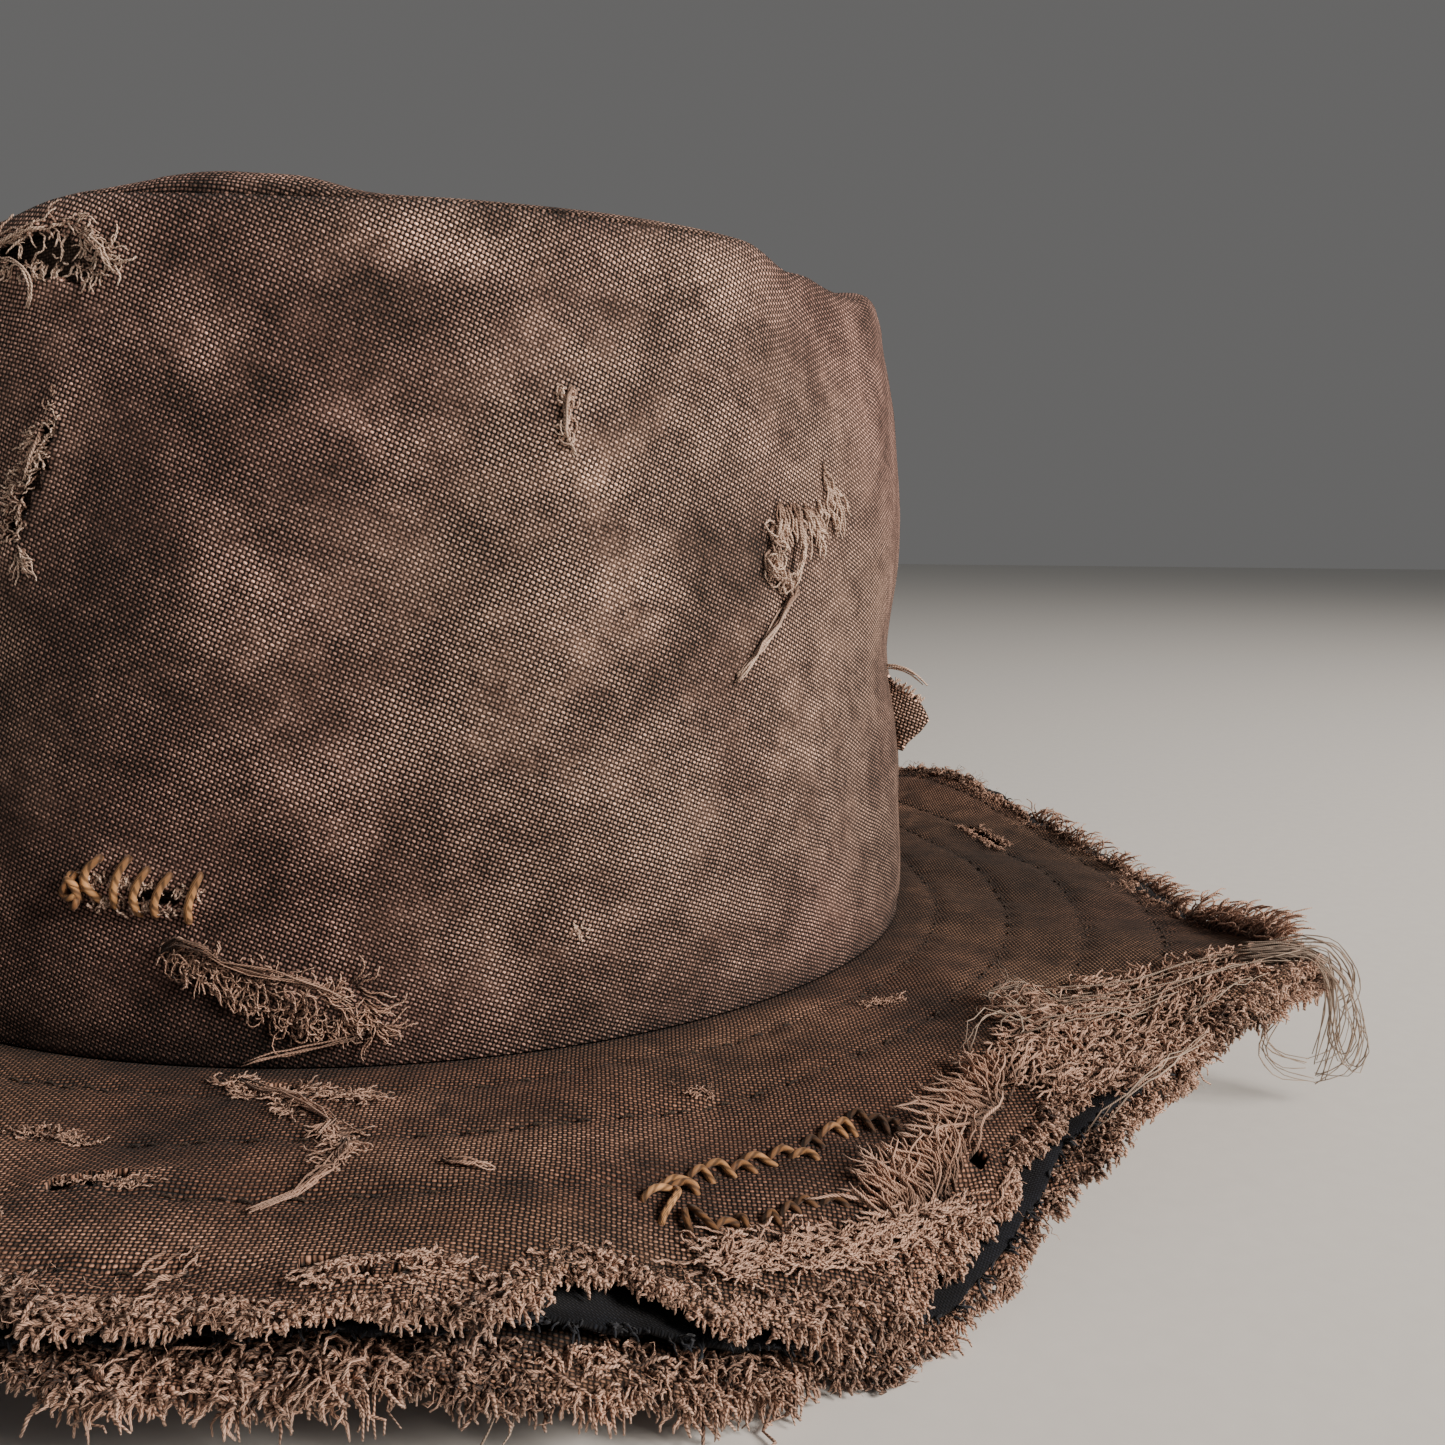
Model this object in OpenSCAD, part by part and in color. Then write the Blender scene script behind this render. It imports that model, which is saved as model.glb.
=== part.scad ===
// Worn sewn cloth hat: a round crown with a puffed top panel, a wide wavy brim of three
// plies with ravelled edges, a lining, a sweatband, and hand-sewn mends over its tears.
// Millimetres, +Z up. The origin is the centre of the head opening, on the plane where
// the crown is sewn to the brim. Azimuths are in degrees from +X; the front is at -90.

/* [Head opening] */
// Girth of the head that the hat fits, measured inside the sweatband
head_girth = 570; // [500:5:660]
// Height of the sweatband over the brim seam
band_up = 28; // [20:1:34]
// Thickness of the sweatband, two layers of cotton twill
band_t = 1.2; // [0.8:0.1:2]

/* [Crown] */
// Height of the crown from the brim seam to the tip seam
crown_h = 108; // [85:1:135]
// Height of the crown's straight lower part
straight_h = 36; // [35:1:48]
// How far the crown narrows on each side at the tip seam
crown_taper = 4.5; // [0:0.5:9]
// Rise of the puffed shoulder of the top panel
shoulder_h = 5; // [3:0.5:8]
// Rise of the middle of the top panel over its shoulder
tip_rise = 4; // [1:0.5:8]
// Depth of the lining's top below the tip seam
lining_drop = 3; // [2:0.5:8]

/* [Cloth] */
// Thickness of the outer cloth, a coarse plain weave
cloth_t = 0.9; // [0.6:0.1:1.4]
// Thickness of the lining cloth
lining_t = 0.6; // [0.4:0.1:1]
// Thickness of the stiff cloth between the brim's plies
interlining_t = 0.8; // [0.5:0.1:1.2]
// Clearance between two plies of cloth
layer_gap = 0.3; // [0.2:0.05:0.5]

/* [Brim] */
// Width of the brim's upper ply
upper_w = 51; // [40:1:70]
// How much wider the stiff middle ply is than the upper one
interlining_more = 2.5; // [1:0.5:4]
// How much wider the lower ply is than the upper one
lower_more = 5; // [2:0.5:8]
// How late the brim bends: 1 is a straight slope, 3 bends only near the edge
brim_curl = 2.2; // [1.2:0.1:3]
// Depth of the three low waves that the hat rests on
rest_depth = 11; // [8:1:16]
// How far the lower ply hangs away from the upper one at its loosest
droop_h = 6; // [3:1:10]
// Length of the ravelled yarns at the brim's edges
fringe_l = 6; // [3:1:9]
// Distance from the crown to the first row of stitching
row_first = 7.5; // [5:0.5:10]
// Distance between rows of stitching
row_pitch = 13; // [8:0.5:13]

/* [Threads] */
// Diameter of the machine sewing thread
sewing_d = 0.5; // [0.3:0.1:0.8]
// Diameter of the waxed mending thread
mend_d = 1.4; // [1:0.1:2]
// Diameter of one yarn of the outer cloth
yarn_d = 0.5; // [0.4:0.1:0.7]
// Distance between two overcast stitches of the crown's mend
overcast_pitch = 4; // [3:0.5:6]
// Length of the crown's overcast stitches
overcast_l = 8; // [5:0.5:10]

/* [Hidden] */

round_fn = 96;      // sides of a turned ring
brim_fn = 96;       // steps round a brim ply
brim_steps = 6;     // steps across a brim ply
fringe_steps = 1;   // steps across a fringe
thread_fn = 6;      // sides of a short thread
row_fn = 80;        // steps round a row of stitching

row_lift = 0.3;     // gap under a row's thread, more than the sag of the ply's facets

open_r = head_girth / (2 * PI);
band_out_r = open_r + band_t;
lining_out_r = band_out_r + layer_gap + lining_t;
crown_r = lining_out_r + layer_gap + cloth_t;
tip_r = crown_r - crown_taper;
lining_h = crown_h - lining_drop;

upper_top = -layer_gap;
interlining_top = upper_top - cloth_t - layer_gap;
lower_top = interlining_top - interlining_t - layer_gap;
plies_bottom = lower_top - cloth_t;

// Waves of the brim's edge, each [azimuth, half width in degrees, height]
brim_waves = [[-71, 22, -rest_depth], [-34, 15, 6], [24, 24, 10], [62, 26, -rest_depth],
              [112, 26, 6], [178, 34, -rest_depth], [-132, 20, 4]];
// Where the lower ply hangs away from the upper one
droop_waves = [[-88, 34, droop_h], [62, 30, 0.6 * droop_h], [178, 36, 0.6 * droop_h],
               [-30, 18, 2], [20, 20, 2], [112, 24, 2]];
// The pulled-out point of the brim
reach_waves = [[-32, 14, 13], [-60, 18, -3], [-132, 24, -4], [130, 30, 3]];

// The tears that go through the crown: [azimuth, height, length, width, lean]
crown_slits = [[-120, 74, 22, 2.6, -26], [-111, 22, 15, 1.8, 84], [-118, 101.5, 15, 4, 72]];
slit_depth = 3 * cloth_t;

// The mend of the crown and the two arms of the mend of the brim
crown_mend_a = -111.5;
crown_mend_z = 22.5;
overcast_count = 5;
// The arms of the brim's mend: from and to, as [azimuth, distance from the crown], and
// the count of stitches
brim_mend_arms = [[[-79, 35], [-66, 32], 8], [[-78, 41], [-71, 43], 5]];

function wave(a, w) =
    let (d = abs((((a - w[0]) % 360) + 540) % 360 - 180))
    d < w[1] ? w[2] * (1 + cos(180 * d / w[1])) / 2 : 0;
function waves(a, list) = [for (w = list) wave(a, w)] * [for (w = list) 1];

function edge_r(a) = crown_r + upper_w + lower_more + waves(a, reach_waves);
function brim_s(a, r) = max(0, (r - crown_r) / (edge_r(a) - crown_r));
function brim_z(a, r, top, share) =
    top + (waves(a, brim_waves) - share * waves(a, droop_waves)) * pow(brim_s(a, r), brim_curl);

function crown_out(z) =
    z < straight_h ? crown_r
                   : crown_r - crown_taper * (z - straight_h) / (crown_h - straight_h);
function around(a, r, z) = [r * cos(a), r * sin(a), z];
function on_crown(a, z, lift) = around(a, crown_out(z) + lift, z);
function on_brim(a, off, lift) =
    around(a, crown_r + off, brim_z(a, crown_r + off, upper_top, 0) + lift);
function mix(p, q, t) = p + (q - p) * t;
function unit(v) = v / norm(v);

// A wavy ring of cloth between the radii inner(a) and outer(a). share says how much of the
// droop it follows; a level ring keeps the height that it has at its inner edge.
module ply(inner, outer, top, share, t, steps = brim_steps, level = false) {
    function ring_r(a, j) = mix(inner(a), outer(a), j / steps);
    function ring_z(a, j) = brim_z(a, level ? inner(a) : ring_r(a, j), top, share);
    across = steps + 1;
    upper = [for (i = [0 : brim_fn - 1]) for (j = [0 : steps])
             let (a = 360 * i / brim_fn) around(a, ring_r(a, j), ring_z(a, j))];
    lower = [for (p = upper) p - [0, 0, t]];
    n = len(upper);
    function at(i, j) = (i % brim_fn) * across + j;
    top_faces = [for (i = [0 : brim_fn - 1]) for (j = [0 : steps - 1])
        let (p = at(i, j), q = at(i, j + 1), r = at(i + 1, j + 1), s = at(i + 1, j))
        each [[p, r, q], [p, s, r]]];
    bottom_faces = [for (f = top_faces) [f[0] + n, f[2] + n, f[1] + n]];
    outer_faces = [for (i = [0 : brim_fn - 1])
        let (p = at(i, steps), q = at(i + 1, steps))
        each [[p, q, q + n], [p, q + n, p + n]]];
    inner_faces = [for (i = [0 : brim_fn - 1])
        let (p = at(i, 0), q = at(i + 1, 0))
        each [[p, q + n, q], [p, p + n, q + n]]];
    polyhedron(concat(upper, lower),
               concat(top_faces, bottom_faces, outer_faces, inner_faces));
}

// A thread of diameter d through a list of points; sides holds, for each point, a
// direction square to the thread there. A closed thread joins its last point to its first.
module thread(points, sides, d, closed = false) {
    n = len(points);
    function before(i) = closed ? points[(i + n - 1) % n] : points[max(0, i - 1)];
    function after(i) = closed ? points[(i + 1) % n] : points[min(n - 1, i + 1)];
    rings = [for (i = [0 : n - 1])
        let (along = unit(after(i) - before(i)),
             up = unit(cross(along, sides[i])),
             side = cross(up, along))
        for (k = [0 : thread_fn - 1])
            let (turn = 360 * k / thread_fn)
            points[i] + d / 2 * (cos(turn) * side + sin(turn) * up)];
    last = closed ? n - 1 : n - 2;
    walls = [for (i = [0 : last]) for (k = [0 : thread_fn - 1])
        let (k2 = (k + 1) % thread_fn, j = (i + 1) % n,
             a = i * thread_fn + k, b = i * thread_fn + k2,
             c = j * thread_fn + k2, e = j * thread_fn + k)
        each [[a, c, b], [a, e, c]]];
    ends = closed ? [] : [[for (k = [0 : thread_fn - 1]) k],
                          [for (k = [thread_fn - 1 : -1 : 0]) (n - 1) * thread_fn + k]];
    polyhedron(rings, concat(walls, ends));
}

// One arched stitch from point p to point q, standing h over the cloth along normal
module stitch(p, q, normal, h, d, steps = 6) {
    arch = [for (i = [0 : steps]) mix(p, q, i / steps) + normal * h * sin(180 * i / steps)];
    side = unit(cross(q - p, normal));
    thread(arch, [for (i = arch) side], d);
}

// A row of loose yarns along a tear: from and to are [azimuth, height] on the crown.
// Each yarn starts clear of the cloth and hangs or stands off it by reach.
module crown_yarns(from, to, count, l, reach) {
    for (i = [0 : count - 1]) {
        place = mix(from, to, i / max(1, count - 1));
        long = l * (0.75 + 0.25 * cos(137 * i));
        foot = on_crown(place[0], place[1], yarn_d + layer_gap);
        tip = on_crown(place[0], place[1] - long, yarn_d + layer_gap + reach);
        stitch(foot, tip, around(place[0], 1, 0), reach, yarn_d, 4);
    }
}

// A row of loose yarns on the brim: from and to are [azimuth, distance from the crown]
module brim_yarns(from, to, count, l, reach) {
    for (i = [0 : count - 1]) {
        place = mix(from, to, i / max(1, count - 1));
        long = l * (0.75 + 0.25 * cos(137 * i));
        foot = on_brim(place[0], place[1], yarn_d + layer_gap);
        tip = on_brim(place[0], place[1] + long, yarn_d + layer_gap + reach);
        stitch(foot, tip, [0, 0, 1], reach, yarn_d, 4);
    }
}

// A turned shell with a round shoulder: r and z0 place its rim, h is the shoulder's
// radius and rise lifts the middle
module dome(r, z0, h, rise, t) {
    steps = 8;
    function shoulder(radius) = [for (i = [0 : steps]) let (turn = 90 * i / steps)
        [r - h + radius * cos(turn), z0 + radius * sin(turn)]];
    outer = concat(shoulder(h), [[(r - h) / 2, z0 + h + rise * 0.75], [0, z0 + h + rise]]);
    inner = concat(shoulder(h - t),
                   [[(r - h) / 2, z0 + h - t + rise * 0.75], [0, z0 + h - t + rise]]);
    rotate_extrude($fn = round_fn)
        polygon(concat(outer, [for (i = [len(inner) - 1 : -1 : 0]) inner[i]]));
}

// A turned wall that keeps distance in from the crown's outside, from z0 to z1
module wall(in, t, z0, z1) {
    function at(z, extra) = [crown_out(z) - in - extra, z];
    rotate_extrude($fn = round_fn)
        polygon([at(z0, 0), at(straight_h, 0), at(z1, 0),
                 at(z1, t), at(straight_h, t), at(z0, t)]);
}

module crown_side() {
    color("#6b5143") difference() {
        wall(0, cloth_t, 0, crown_h);
        for (s = crown_slits)
            rotate([0, 0, s[0]]) translate([crown_out(s[1]), 0, s[1]]) rotate([s[4], 0, 0])
                cube([slit_depth, s[3], s[2]], center = true);
    }
}

module crown_tip() {
    color("#5c4538") dome(tip_r, crown_h + layer_gap / 3, shoulder_h, tip_rise, cloth_t);
}

module tip_seam_thread() {
    color("#3a2a20") rotate_extrude($fn = round_fn)
        translate([tip_r - cloth_t - sewing_d, crown_h - sewing_d])
            circle(d = sewing_d, $fn = 24);
}

module back_seam_thread() {
    seam_a = 90;
    margin = 4;
    heights = [margin, straight_h, crown_h - margin];
    lift = sewing_d / 2 + row_lift;
    color("#3a2a20") thread([for (z = heights) on_crown(seam_a, z, lift)],
                            [for (z = heights) [1, 0, 0]], sewing_d);
}

module lining_side() {
    color("#17161a") wall(cloth_t + layer_gap, lining_t, layer_gap, lining_h);
}

module lining_tip() {
    color("#17161a") dome(tip_r - cloth_t - layer_gap, lining_h + layer_gap,
                          shoulder_h - 1, tip_rise, lining_t);
}

module sweatband() {
    color("#2a2420") difference() {
        translate([0, 0, plies_bottom])
            cylinder(r = band_out_r, h = band_up - plies_bottom, $fn = round_fn);
        translate([0, 0, plies_bottom - 1])
            cylinder(r = open_r, h = band_up - plies_bottom + 2, $fn = round_fn);
    }
}

module sweatband_thread() {
    color("#3a2a20") rotate_extrude($fn = round_fn)
        translate([(band_out_r + crown_r - cloth_t) / 2, upper_top - cloth_t])
            circle(d = sewing_d, $fn = 24);
}

module brim_upper() {
    color("#5a4435") ply(function(a) crown_r - cloth_t, function(a) edge_r(a) - lower_more,
                         upper_top, 0, cloth_t);
}

module brim_interlining() {
    color("#14161d") ply(function(a) crown_r - cloth_t,
                         function(a) edge_r(a) - lower_more + interlining_more,
                         interlining_top, 0.5, interlining_t);
}

module brim_lower() {
    color("#59453a") ply(function(a) crown_r - cloth_t, function(a) edge_r(a),
                         lower_top, 1, cloth_t);
}

// One row of machine stitching round the brim, k rows out from the crown
module brim_row(k) {
    off = row_first + k * row_pitch;
    angles = [for (i = [0 : row_fn - 1]) 360 * i / row_fn];
    color("#3a2a20") thread([for (a = angles) on_brim(a, off, sewing_d / 2 + row_lift)],
                            [for (a = angles) around(a, 1, 0)], sewing_d, closed = true);
}
module brim_row_1() { brim_row(0); }
module brim_row_2() { brim_row(1); }
module brim_row_3() { brim_row(2); }
module brim_row_4() { brim_row(3); }

// Ravelled yarns stand off the edge in teeth, a tooth every ten degrees
function fringe_r(a, edge) = edge + layer_gap + fringe_l * (0.75 + 0.25 * cos(36 * a));

module upper_fringe() {
    color("#8d7060") ply(function(a) edge_r(a) - lower_more + layer_gap,
                         function(a) fringe_r(a, edge_r(a) - lower_more),
                         upper_top, 0, yarn_d, fringe_steps, level = true);
}

module lower_fringe() {
    color("#8d7060") ply(function(a) edge_r(a) + layer_gap,
                         function(a) fringe_r(a, edge_r(a)),
                         lower_top, 1, yarn_d, fringe_steps, level = true);
}

// A torn corner of cloth that is folded out of the crown
module crown_flap() {
    flap_a = -21;
    flap_z = 30;
    color("#6b5143") rotate([0, 0, flap_a]) translate([crown_out(flap_z) + layer_gap, 0, flap_z])
        rotate([90, 0, 8]) linear_extrude(cloth_t) polygon([[0, 0], [5, 2], [6, 9], [0, 11]]);
}

module crown_mend_thread() {
    lift = mend_d / 2 + layer_gap;
    lean = 1;
    degree = 360 / (2 * PI * crown_r);
    color("#a56a33") {
        for (i = [0 : overcast_count - 1]) {
            a = crown_mend_a + (i - (overcast_count - 1) / 2) * overcast_pitch * degree;
            low = on_crown(a - lean * degree, crown_mend_z - overcast_l / 2, lift);
            high = on_crown(a + lean * degree, crown_mend_z + overcast_l / 2, lift);
            stitch(low, high, around(a, 1, 0), mend_d / 2, mend_d);
        }
        knot_a = crown_mend_a - (overcast_count + 1) / 2 * overcast_pitch * degree;
        translate(on_crown(knot_a, crown_mend_z, mend_d + layer_gap)) sphere(d = 2 * mend_d, $fn = 24);
    }
}

// Whip stitches along two arms that almost meet
module brim_mend_thread() {
    lift = mend_d / 2 + row_lift + sewing_d + layer_gap;
    color("#8a5a32") for (arm = brim_mend_arms, i = [0 : arm[2] - 1]) {
        p = mix(arm[0], arm[1], i / (arm[2] - 1));
        inner = on_brim(p[0] - 0.3, p[1] - mend_d, lift);
        outer = on_brim(p[0] + 0.3, p[1] + mend_d, lift);
        stitch(inner, outer, [0, 0, 1], mend_d / 2, mend_d);
    }
}

module top_tear_yarns() { color("#8d7060") crown_yarns([-122, 105], [-113, 101], 9, 6, 2); }
module side_slit_yarns() { color("#8d7060") crown_yarns([-117, 86], [-122.5, 68], 8, 3, 1.5); }
module snag_yarns() { color("#8d7060") crown_yarns([-78, 86], [-77, 82], 3, 5, 1.2); }
module pulled_yarns() { color("#9a7a66") crown_yarns([-56, 74], [-47, 78], 8, 12, 2.5); }
module lower_tear_yarns() { color("#8d7060") crown_yarns([-108.5, 16], [-94, 11], 16, 5, 2); }
module brim_tear_yarns() { color("#8d7060") brim_yarns([-104, 3], [-93, 12], 12, 6, 2); }
module brim_edge_tufts() {
    color("#a98876") {
        brim_yarns([-69, 40], [-62, 38], 9, 8, 3);
        brim_yarns([-60, 33], [-45, 27], 20, 9, 3);
    }
}

// Loose yarns that hang from the brim's point, in loops
module tip_loose_threads() {
    tip_a = -32;
    count = 5;
    drop = 10;
    out = 9;
    steps = 8;
    color("#a98876") for (i = [0 : count - 1]) {
        a = tip_a + 1.2 * (i - 2);
        start = edge_r(a) + layer_gap + 1;
        z = brim_z(a, edge_r(a), upper_top, 0) + 2 * yarn_d;
        loop = [for (k = [0 : steps]) let (turn = 20 * k)
                around(a, start + out * sin(turn), z - drop * (1 - cos(turn)) / 2)];
        thread(loop, [for (p = loop) [-sin(a), cos(a), 0]], yarn_d);
    }
}

crown_side();
crown_tip();
tip_seam_thread();
back_seam_thread();
lining_side();
lining_tip();
sweatband();
sweatband_thread();
brim_upper();
brim_interlining();
brim_lower();
brim_row_1();
brim_row_2();
brim_row_3();
brim_row_4();
upper_fringe();
lower_fringe();
crown_flap();
crown_mend_thread();
brim_mend_thread();
top_tear_yarns();
side_slit_yarns();
snag_yarns();
pulled_yarns();
lower_tear_yarns();
brim_tear_yarns();
brim_edge_tufts();
tip_loose_threads();
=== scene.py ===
import math

import bmesh
import bpy
import numpy as np
from mathutils import Matrix, Vector, noise


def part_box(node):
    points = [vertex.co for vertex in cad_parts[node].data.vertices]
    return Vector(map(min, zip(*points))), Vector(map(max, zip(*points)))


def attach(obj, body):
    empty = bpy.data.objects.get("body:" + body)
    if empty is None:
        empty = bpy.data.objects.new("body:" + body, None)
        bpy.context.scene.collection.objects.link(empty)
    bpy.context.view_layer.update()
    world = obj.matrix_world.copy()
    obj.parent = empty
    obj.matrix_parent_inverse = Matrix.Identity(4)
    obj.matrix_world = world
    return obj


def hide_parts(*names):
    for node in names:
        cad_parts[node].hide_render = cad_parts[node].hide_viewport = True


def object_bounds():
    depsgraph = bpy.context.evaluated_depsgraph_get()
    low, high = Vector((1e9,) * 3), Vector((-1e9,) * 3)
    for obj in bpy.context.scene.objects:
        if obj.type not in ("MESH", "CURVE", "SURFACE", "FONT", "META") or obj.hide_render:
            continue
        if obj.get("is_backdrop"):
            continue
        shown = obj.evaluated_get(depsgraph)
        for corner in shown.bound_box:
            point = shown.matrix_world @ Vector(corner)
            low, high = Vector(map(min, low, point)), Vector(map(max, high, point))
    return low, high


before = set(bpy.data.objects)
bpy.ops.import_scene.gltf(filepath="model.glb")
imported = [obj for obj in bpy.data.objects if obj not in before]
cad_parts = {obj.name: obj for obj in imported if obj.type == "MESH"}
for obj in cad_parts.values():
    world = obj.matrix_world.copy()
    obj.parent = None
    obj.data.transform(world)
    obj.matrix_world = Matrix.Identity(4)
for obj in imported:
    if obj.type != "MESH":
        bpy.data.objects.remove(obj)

cad_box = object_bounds()
MM = 0.001


# Crown side. One strip of coarse cotton canvas in plain weave, 18 yarns to the centimetre,
# cut a little off the grain, sewn into a band. Dyed brown over and over, then worn: worn places
# have faded to a dusty pink-beige. The raised yarns are painted lighter, a painted highlight,
# and the pores between them near black, painted shade.
crown_low, crown_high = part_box("crown_side")
CROWN_R = crown_high.x / MM
CROWN_H = crown_high.z / MM
TIP_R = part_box("crown_tip")[1].x / MM
STRAIGHT_H = 36.0
CLOTH_T = 0.9
YARN_PITCH = 0.56
# Azimuth of the back, in degrees, where every ring of cloth is closed
BACK_SEAM = 90.0


def linear(hex_colour, alpha=1.0):
    """An sRGB hex colour as linear RGBA."""
    parts = [int(hex_colour[i:i + 2], 16) / 255 for i in (1, 3, 5)]
    return [c / 12.92 if c <= 0.04045 else ((c + 0.055) / 1.055) ** 2.4 for c in parts] + [alpha]


def add(tree, kind, *values, stops=(), **settings):
    """Adds a shader node and sets its properties. The values, which are numbers, nodes or
    sockets, fill its open inputs in order, and a dict at their end fills inputs by name.
    stops are the places and colours of a ramp, the first and the last before the others."""
    made = tree.nodes.new("ShaderNode" + kind)
    for name, value in settings.items():
        setattr(made, name, value)
    named = values[-1] if values and isinstance(values[-1], dict) else {}
    pairs = list(zip([socket for socket in made.inputs if socket.enabled], values))
    pairs = pairs[:len(values) - bool(named)] + [(made.inputs[key], named[key]) for key in named]
    for socket, value in pairs:
        if isinstance(value, bpy.types.Node):
            value = next(output for output in value.outputs if output.enabled)
        if isinstance(value, bpy.types.NodeSocket):
            tree.links.new(value, socket)
        else:
            socket.default_value = value
    for number, (place, colour) in enumerate(stops):
        ramp = made.color_ramp.elements
        stop = ramp[number] if number < 2 else ramp.new(place)
        stop.position = place
        stop.color = linear(colour)
    return made


def new_material(name, roughness, sheen, specular=0.25):
    """A cloth or thread material with its shader and output, and nothing linked yet."""
    material = bpy.data.materials.new(name)
    material.use_nodes = True
    tree = material.node_tree
    shader = tree.nodes["Principled BSDF"]
    shader.inputs["Roughness"].default_value = roughness
    shader.inputs["Specular IOR Level"].default_value = specular
    shader.inputs["Sheen Weight"].default_value = sheen
    shader.inputs["Sheen Roughness"].default_value = 0.6
    return material, tree, shader


def finish_surface(tree, shader, colour, height, depth, strength=1.0):
    """Links the colour to the shader, and a bump from the height, depth metres deep."""
    bump = add(tree, "Bump", {"Height": height, "Distance": depth, "Strength": strength})
    tree.links.new(colour.outputs[0], shader.inputs["Base Color"])
    tree.links.new(bump.outputs[0], shader.inputs["Normal"])


def woven(name, pitch, grain, dark, middle, light, faded, pore, relief, contrast=1.0):
    """Plain-weave cloth. pitch is the distance between yarns in mm, grain the turn of the
    yarns in degrees, relief the height of a yarn's crown in mm. The UV map is in metres."""
    material, tree, shader = new_material(name, 0.93, 0.04, specular=0.2)
    flat = add(tree, "UVMap", uv_map="weave")
    slack = add(tree, "TexNoise", {"Vector": flat, "Scale": 110.0, "Detail": 3.0})
    bent = add(tree, "VectorMath", slack.outputs["Color"], (0.0009,) * 3, flat,
               operation="MULTIPLY_ADD")
    turned = add(tree, "Mapping", {"Vector": bent, "Rotation": (0, 0, math.radians(grain))})
    yarns = add(tree, "VectorMath", turned, math.pi / (pitch * MM), operation="SCALE")
    split = add(tree, "SeparateXYZ", yarns)
    wave_u = add(tree, "Math", split.outputs[0], operation="SINE")
    wave_v = add(tree, "Math", split.outputs[1], operation="SINE")
    both = add(tree, "Math", wave_u, wave_v, operation="MULTIPLY")
    weft_over = add(tree, "Math", both, 0.0, operation="GREATER_THAN")
    round_u = add(tree, "Math", wave_u, operation="ABSOLUTE")
    round_v = add(tree, "Math", wave_v, operation="ABSOLUTE")
    # A weft yarn is round across v and bows along u; a warp yarn the other way
    weft_bow = add(tree, "Math", round_u, 0.45, 0.55, operation="MULTIPLY_ADD")
    weft = add(tree, "Math", round_v, weft_bow, operation="MULTIPLY")
    warp_bow = add(tree, "Math", round_v, 0.3, 0.3, operation="MULTIPLY_ADD")
    warp = add(tree, "Math", round_u, warp_bow, operation="MULTIPLY")
    height = add(tree, "Mix", weft_over, warp, weft, data_type="FLOAT")
    # The pores are where four yarns meet, painted near black as painted shade; lint closes some of them
    lint = add(tree, "TexNoise", {"Vector": flat, "Scale": 900.0, "Detail": 2.0})
    corner = add(tree, "Math", round_u, round_v, operation="ADD")
    corner = add(tree, "Math", lint, 0.9, corner, operation="MULTIPLY_ADD")
    pore_depth_and_shade = add(tree, "MapRange", corner, 1.1, 1.84, 1.0 - 0.95 * contrast, 1.0,
                    interpolation_type="SMOOTHSTEP")
    # Each yarn has a tone of its own, and changes along its length
    row = add(tree, "VectorMath", yarns, 1 / math.pi, operation="SCALE")
    cell = add(tree, "VectorMath", row, operation="FLOOR")
    weft_part = add(tree, "VectorMath", cell, (0.11, 1.0, 0.0), operation="MULTIPLY")
    warp_part = add(tree, "VectorMath", cell, (1.0, 0.11, 0.0), operation="MULTIPLY")
    weft_tone = add(tree, "TexNoise", {"Vector": weft_part, "Scale": 1.7, "Detail": 3.0})
    warp_tone = add(tree, "TexNoise", {"Vector": warp_part, "Scale": 1.9, "Detail": 3.0})
    tone = add(tree, "Mix", weft_over, warp_tone, weft_tone, data_type="FLOAT")
    slub = add(tree, "TexWhiteNoise", {"Vector": cell})
    slub = add(tree, "Math", slub, 0.34, 0.83, operation="MULTIPLY_ADD")
    # Dye and wear: broad clouds, blotches of a few mm, and streaks along the yarns
    place = add(tree, "TexCoord").outputs["Object"]
    clouds = add(tree, "TexNoise",
                 {"Vector": place, "Scale": 24.0, "Detail": 6.0, "Roughness": 0.68, "Distortion": 0.4})
    specks = add(tree, "TexNoise",
                 {"Vector": place, "Scale": 150.0, "Detail": 6.0, "Roughness": 0.72})
    drawn = add(tree, "Mapping", {"Vector": turned, "Scale": (90.0, 700.0, 1.0)})
    streaks = add(tree, "TexNoise", {"Vector": drawn, "Scale": 1.0, "Detail": 4.0})
    mottle = add(tree, "Math", specks, 0.55, clouds, operation="MULTIPLY_ADD")
    mottle = add(tree, "Math", streaks, 0.16, mottle, operation="MULTIPLY_ADD")
    dye = add(tree, "ValToRGB", mottle, stops=[(0.64, dark), (1.0, light), (0.82, middle)])
    worn = add(tree, "Attribute", attribute_name="fade")
    patch = add(tree, "MapRange", specks, 0.34, 0.62, 0.0, 1.1)
    patch = add(tree, "Math", worn.outputs["Fac"], patch, operation="MULTIPLY", use_clamp=True)
    coloured = add(tree, "Mix", patch, dye, linear(faded), data_type="RGBA")
    # Soil darkens the cloth towards the pore colour; on the brim's lower ply the same attribute also
    # carries painted shade, inside the gap under the upper ply
    soil_and_shade_node = add(tree, "Attribute", attribute_name="soil_and_shade")
    grime_and_shade = add(tree, "Math", soil_and_shade_node.outputs["Fac"], 0.75, operation="MULTIPLY")
    dirt_and_shade = add(tree, "Mix", grime_and_shade, coloured, linear(pore), data_type="RGBA")
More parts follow.
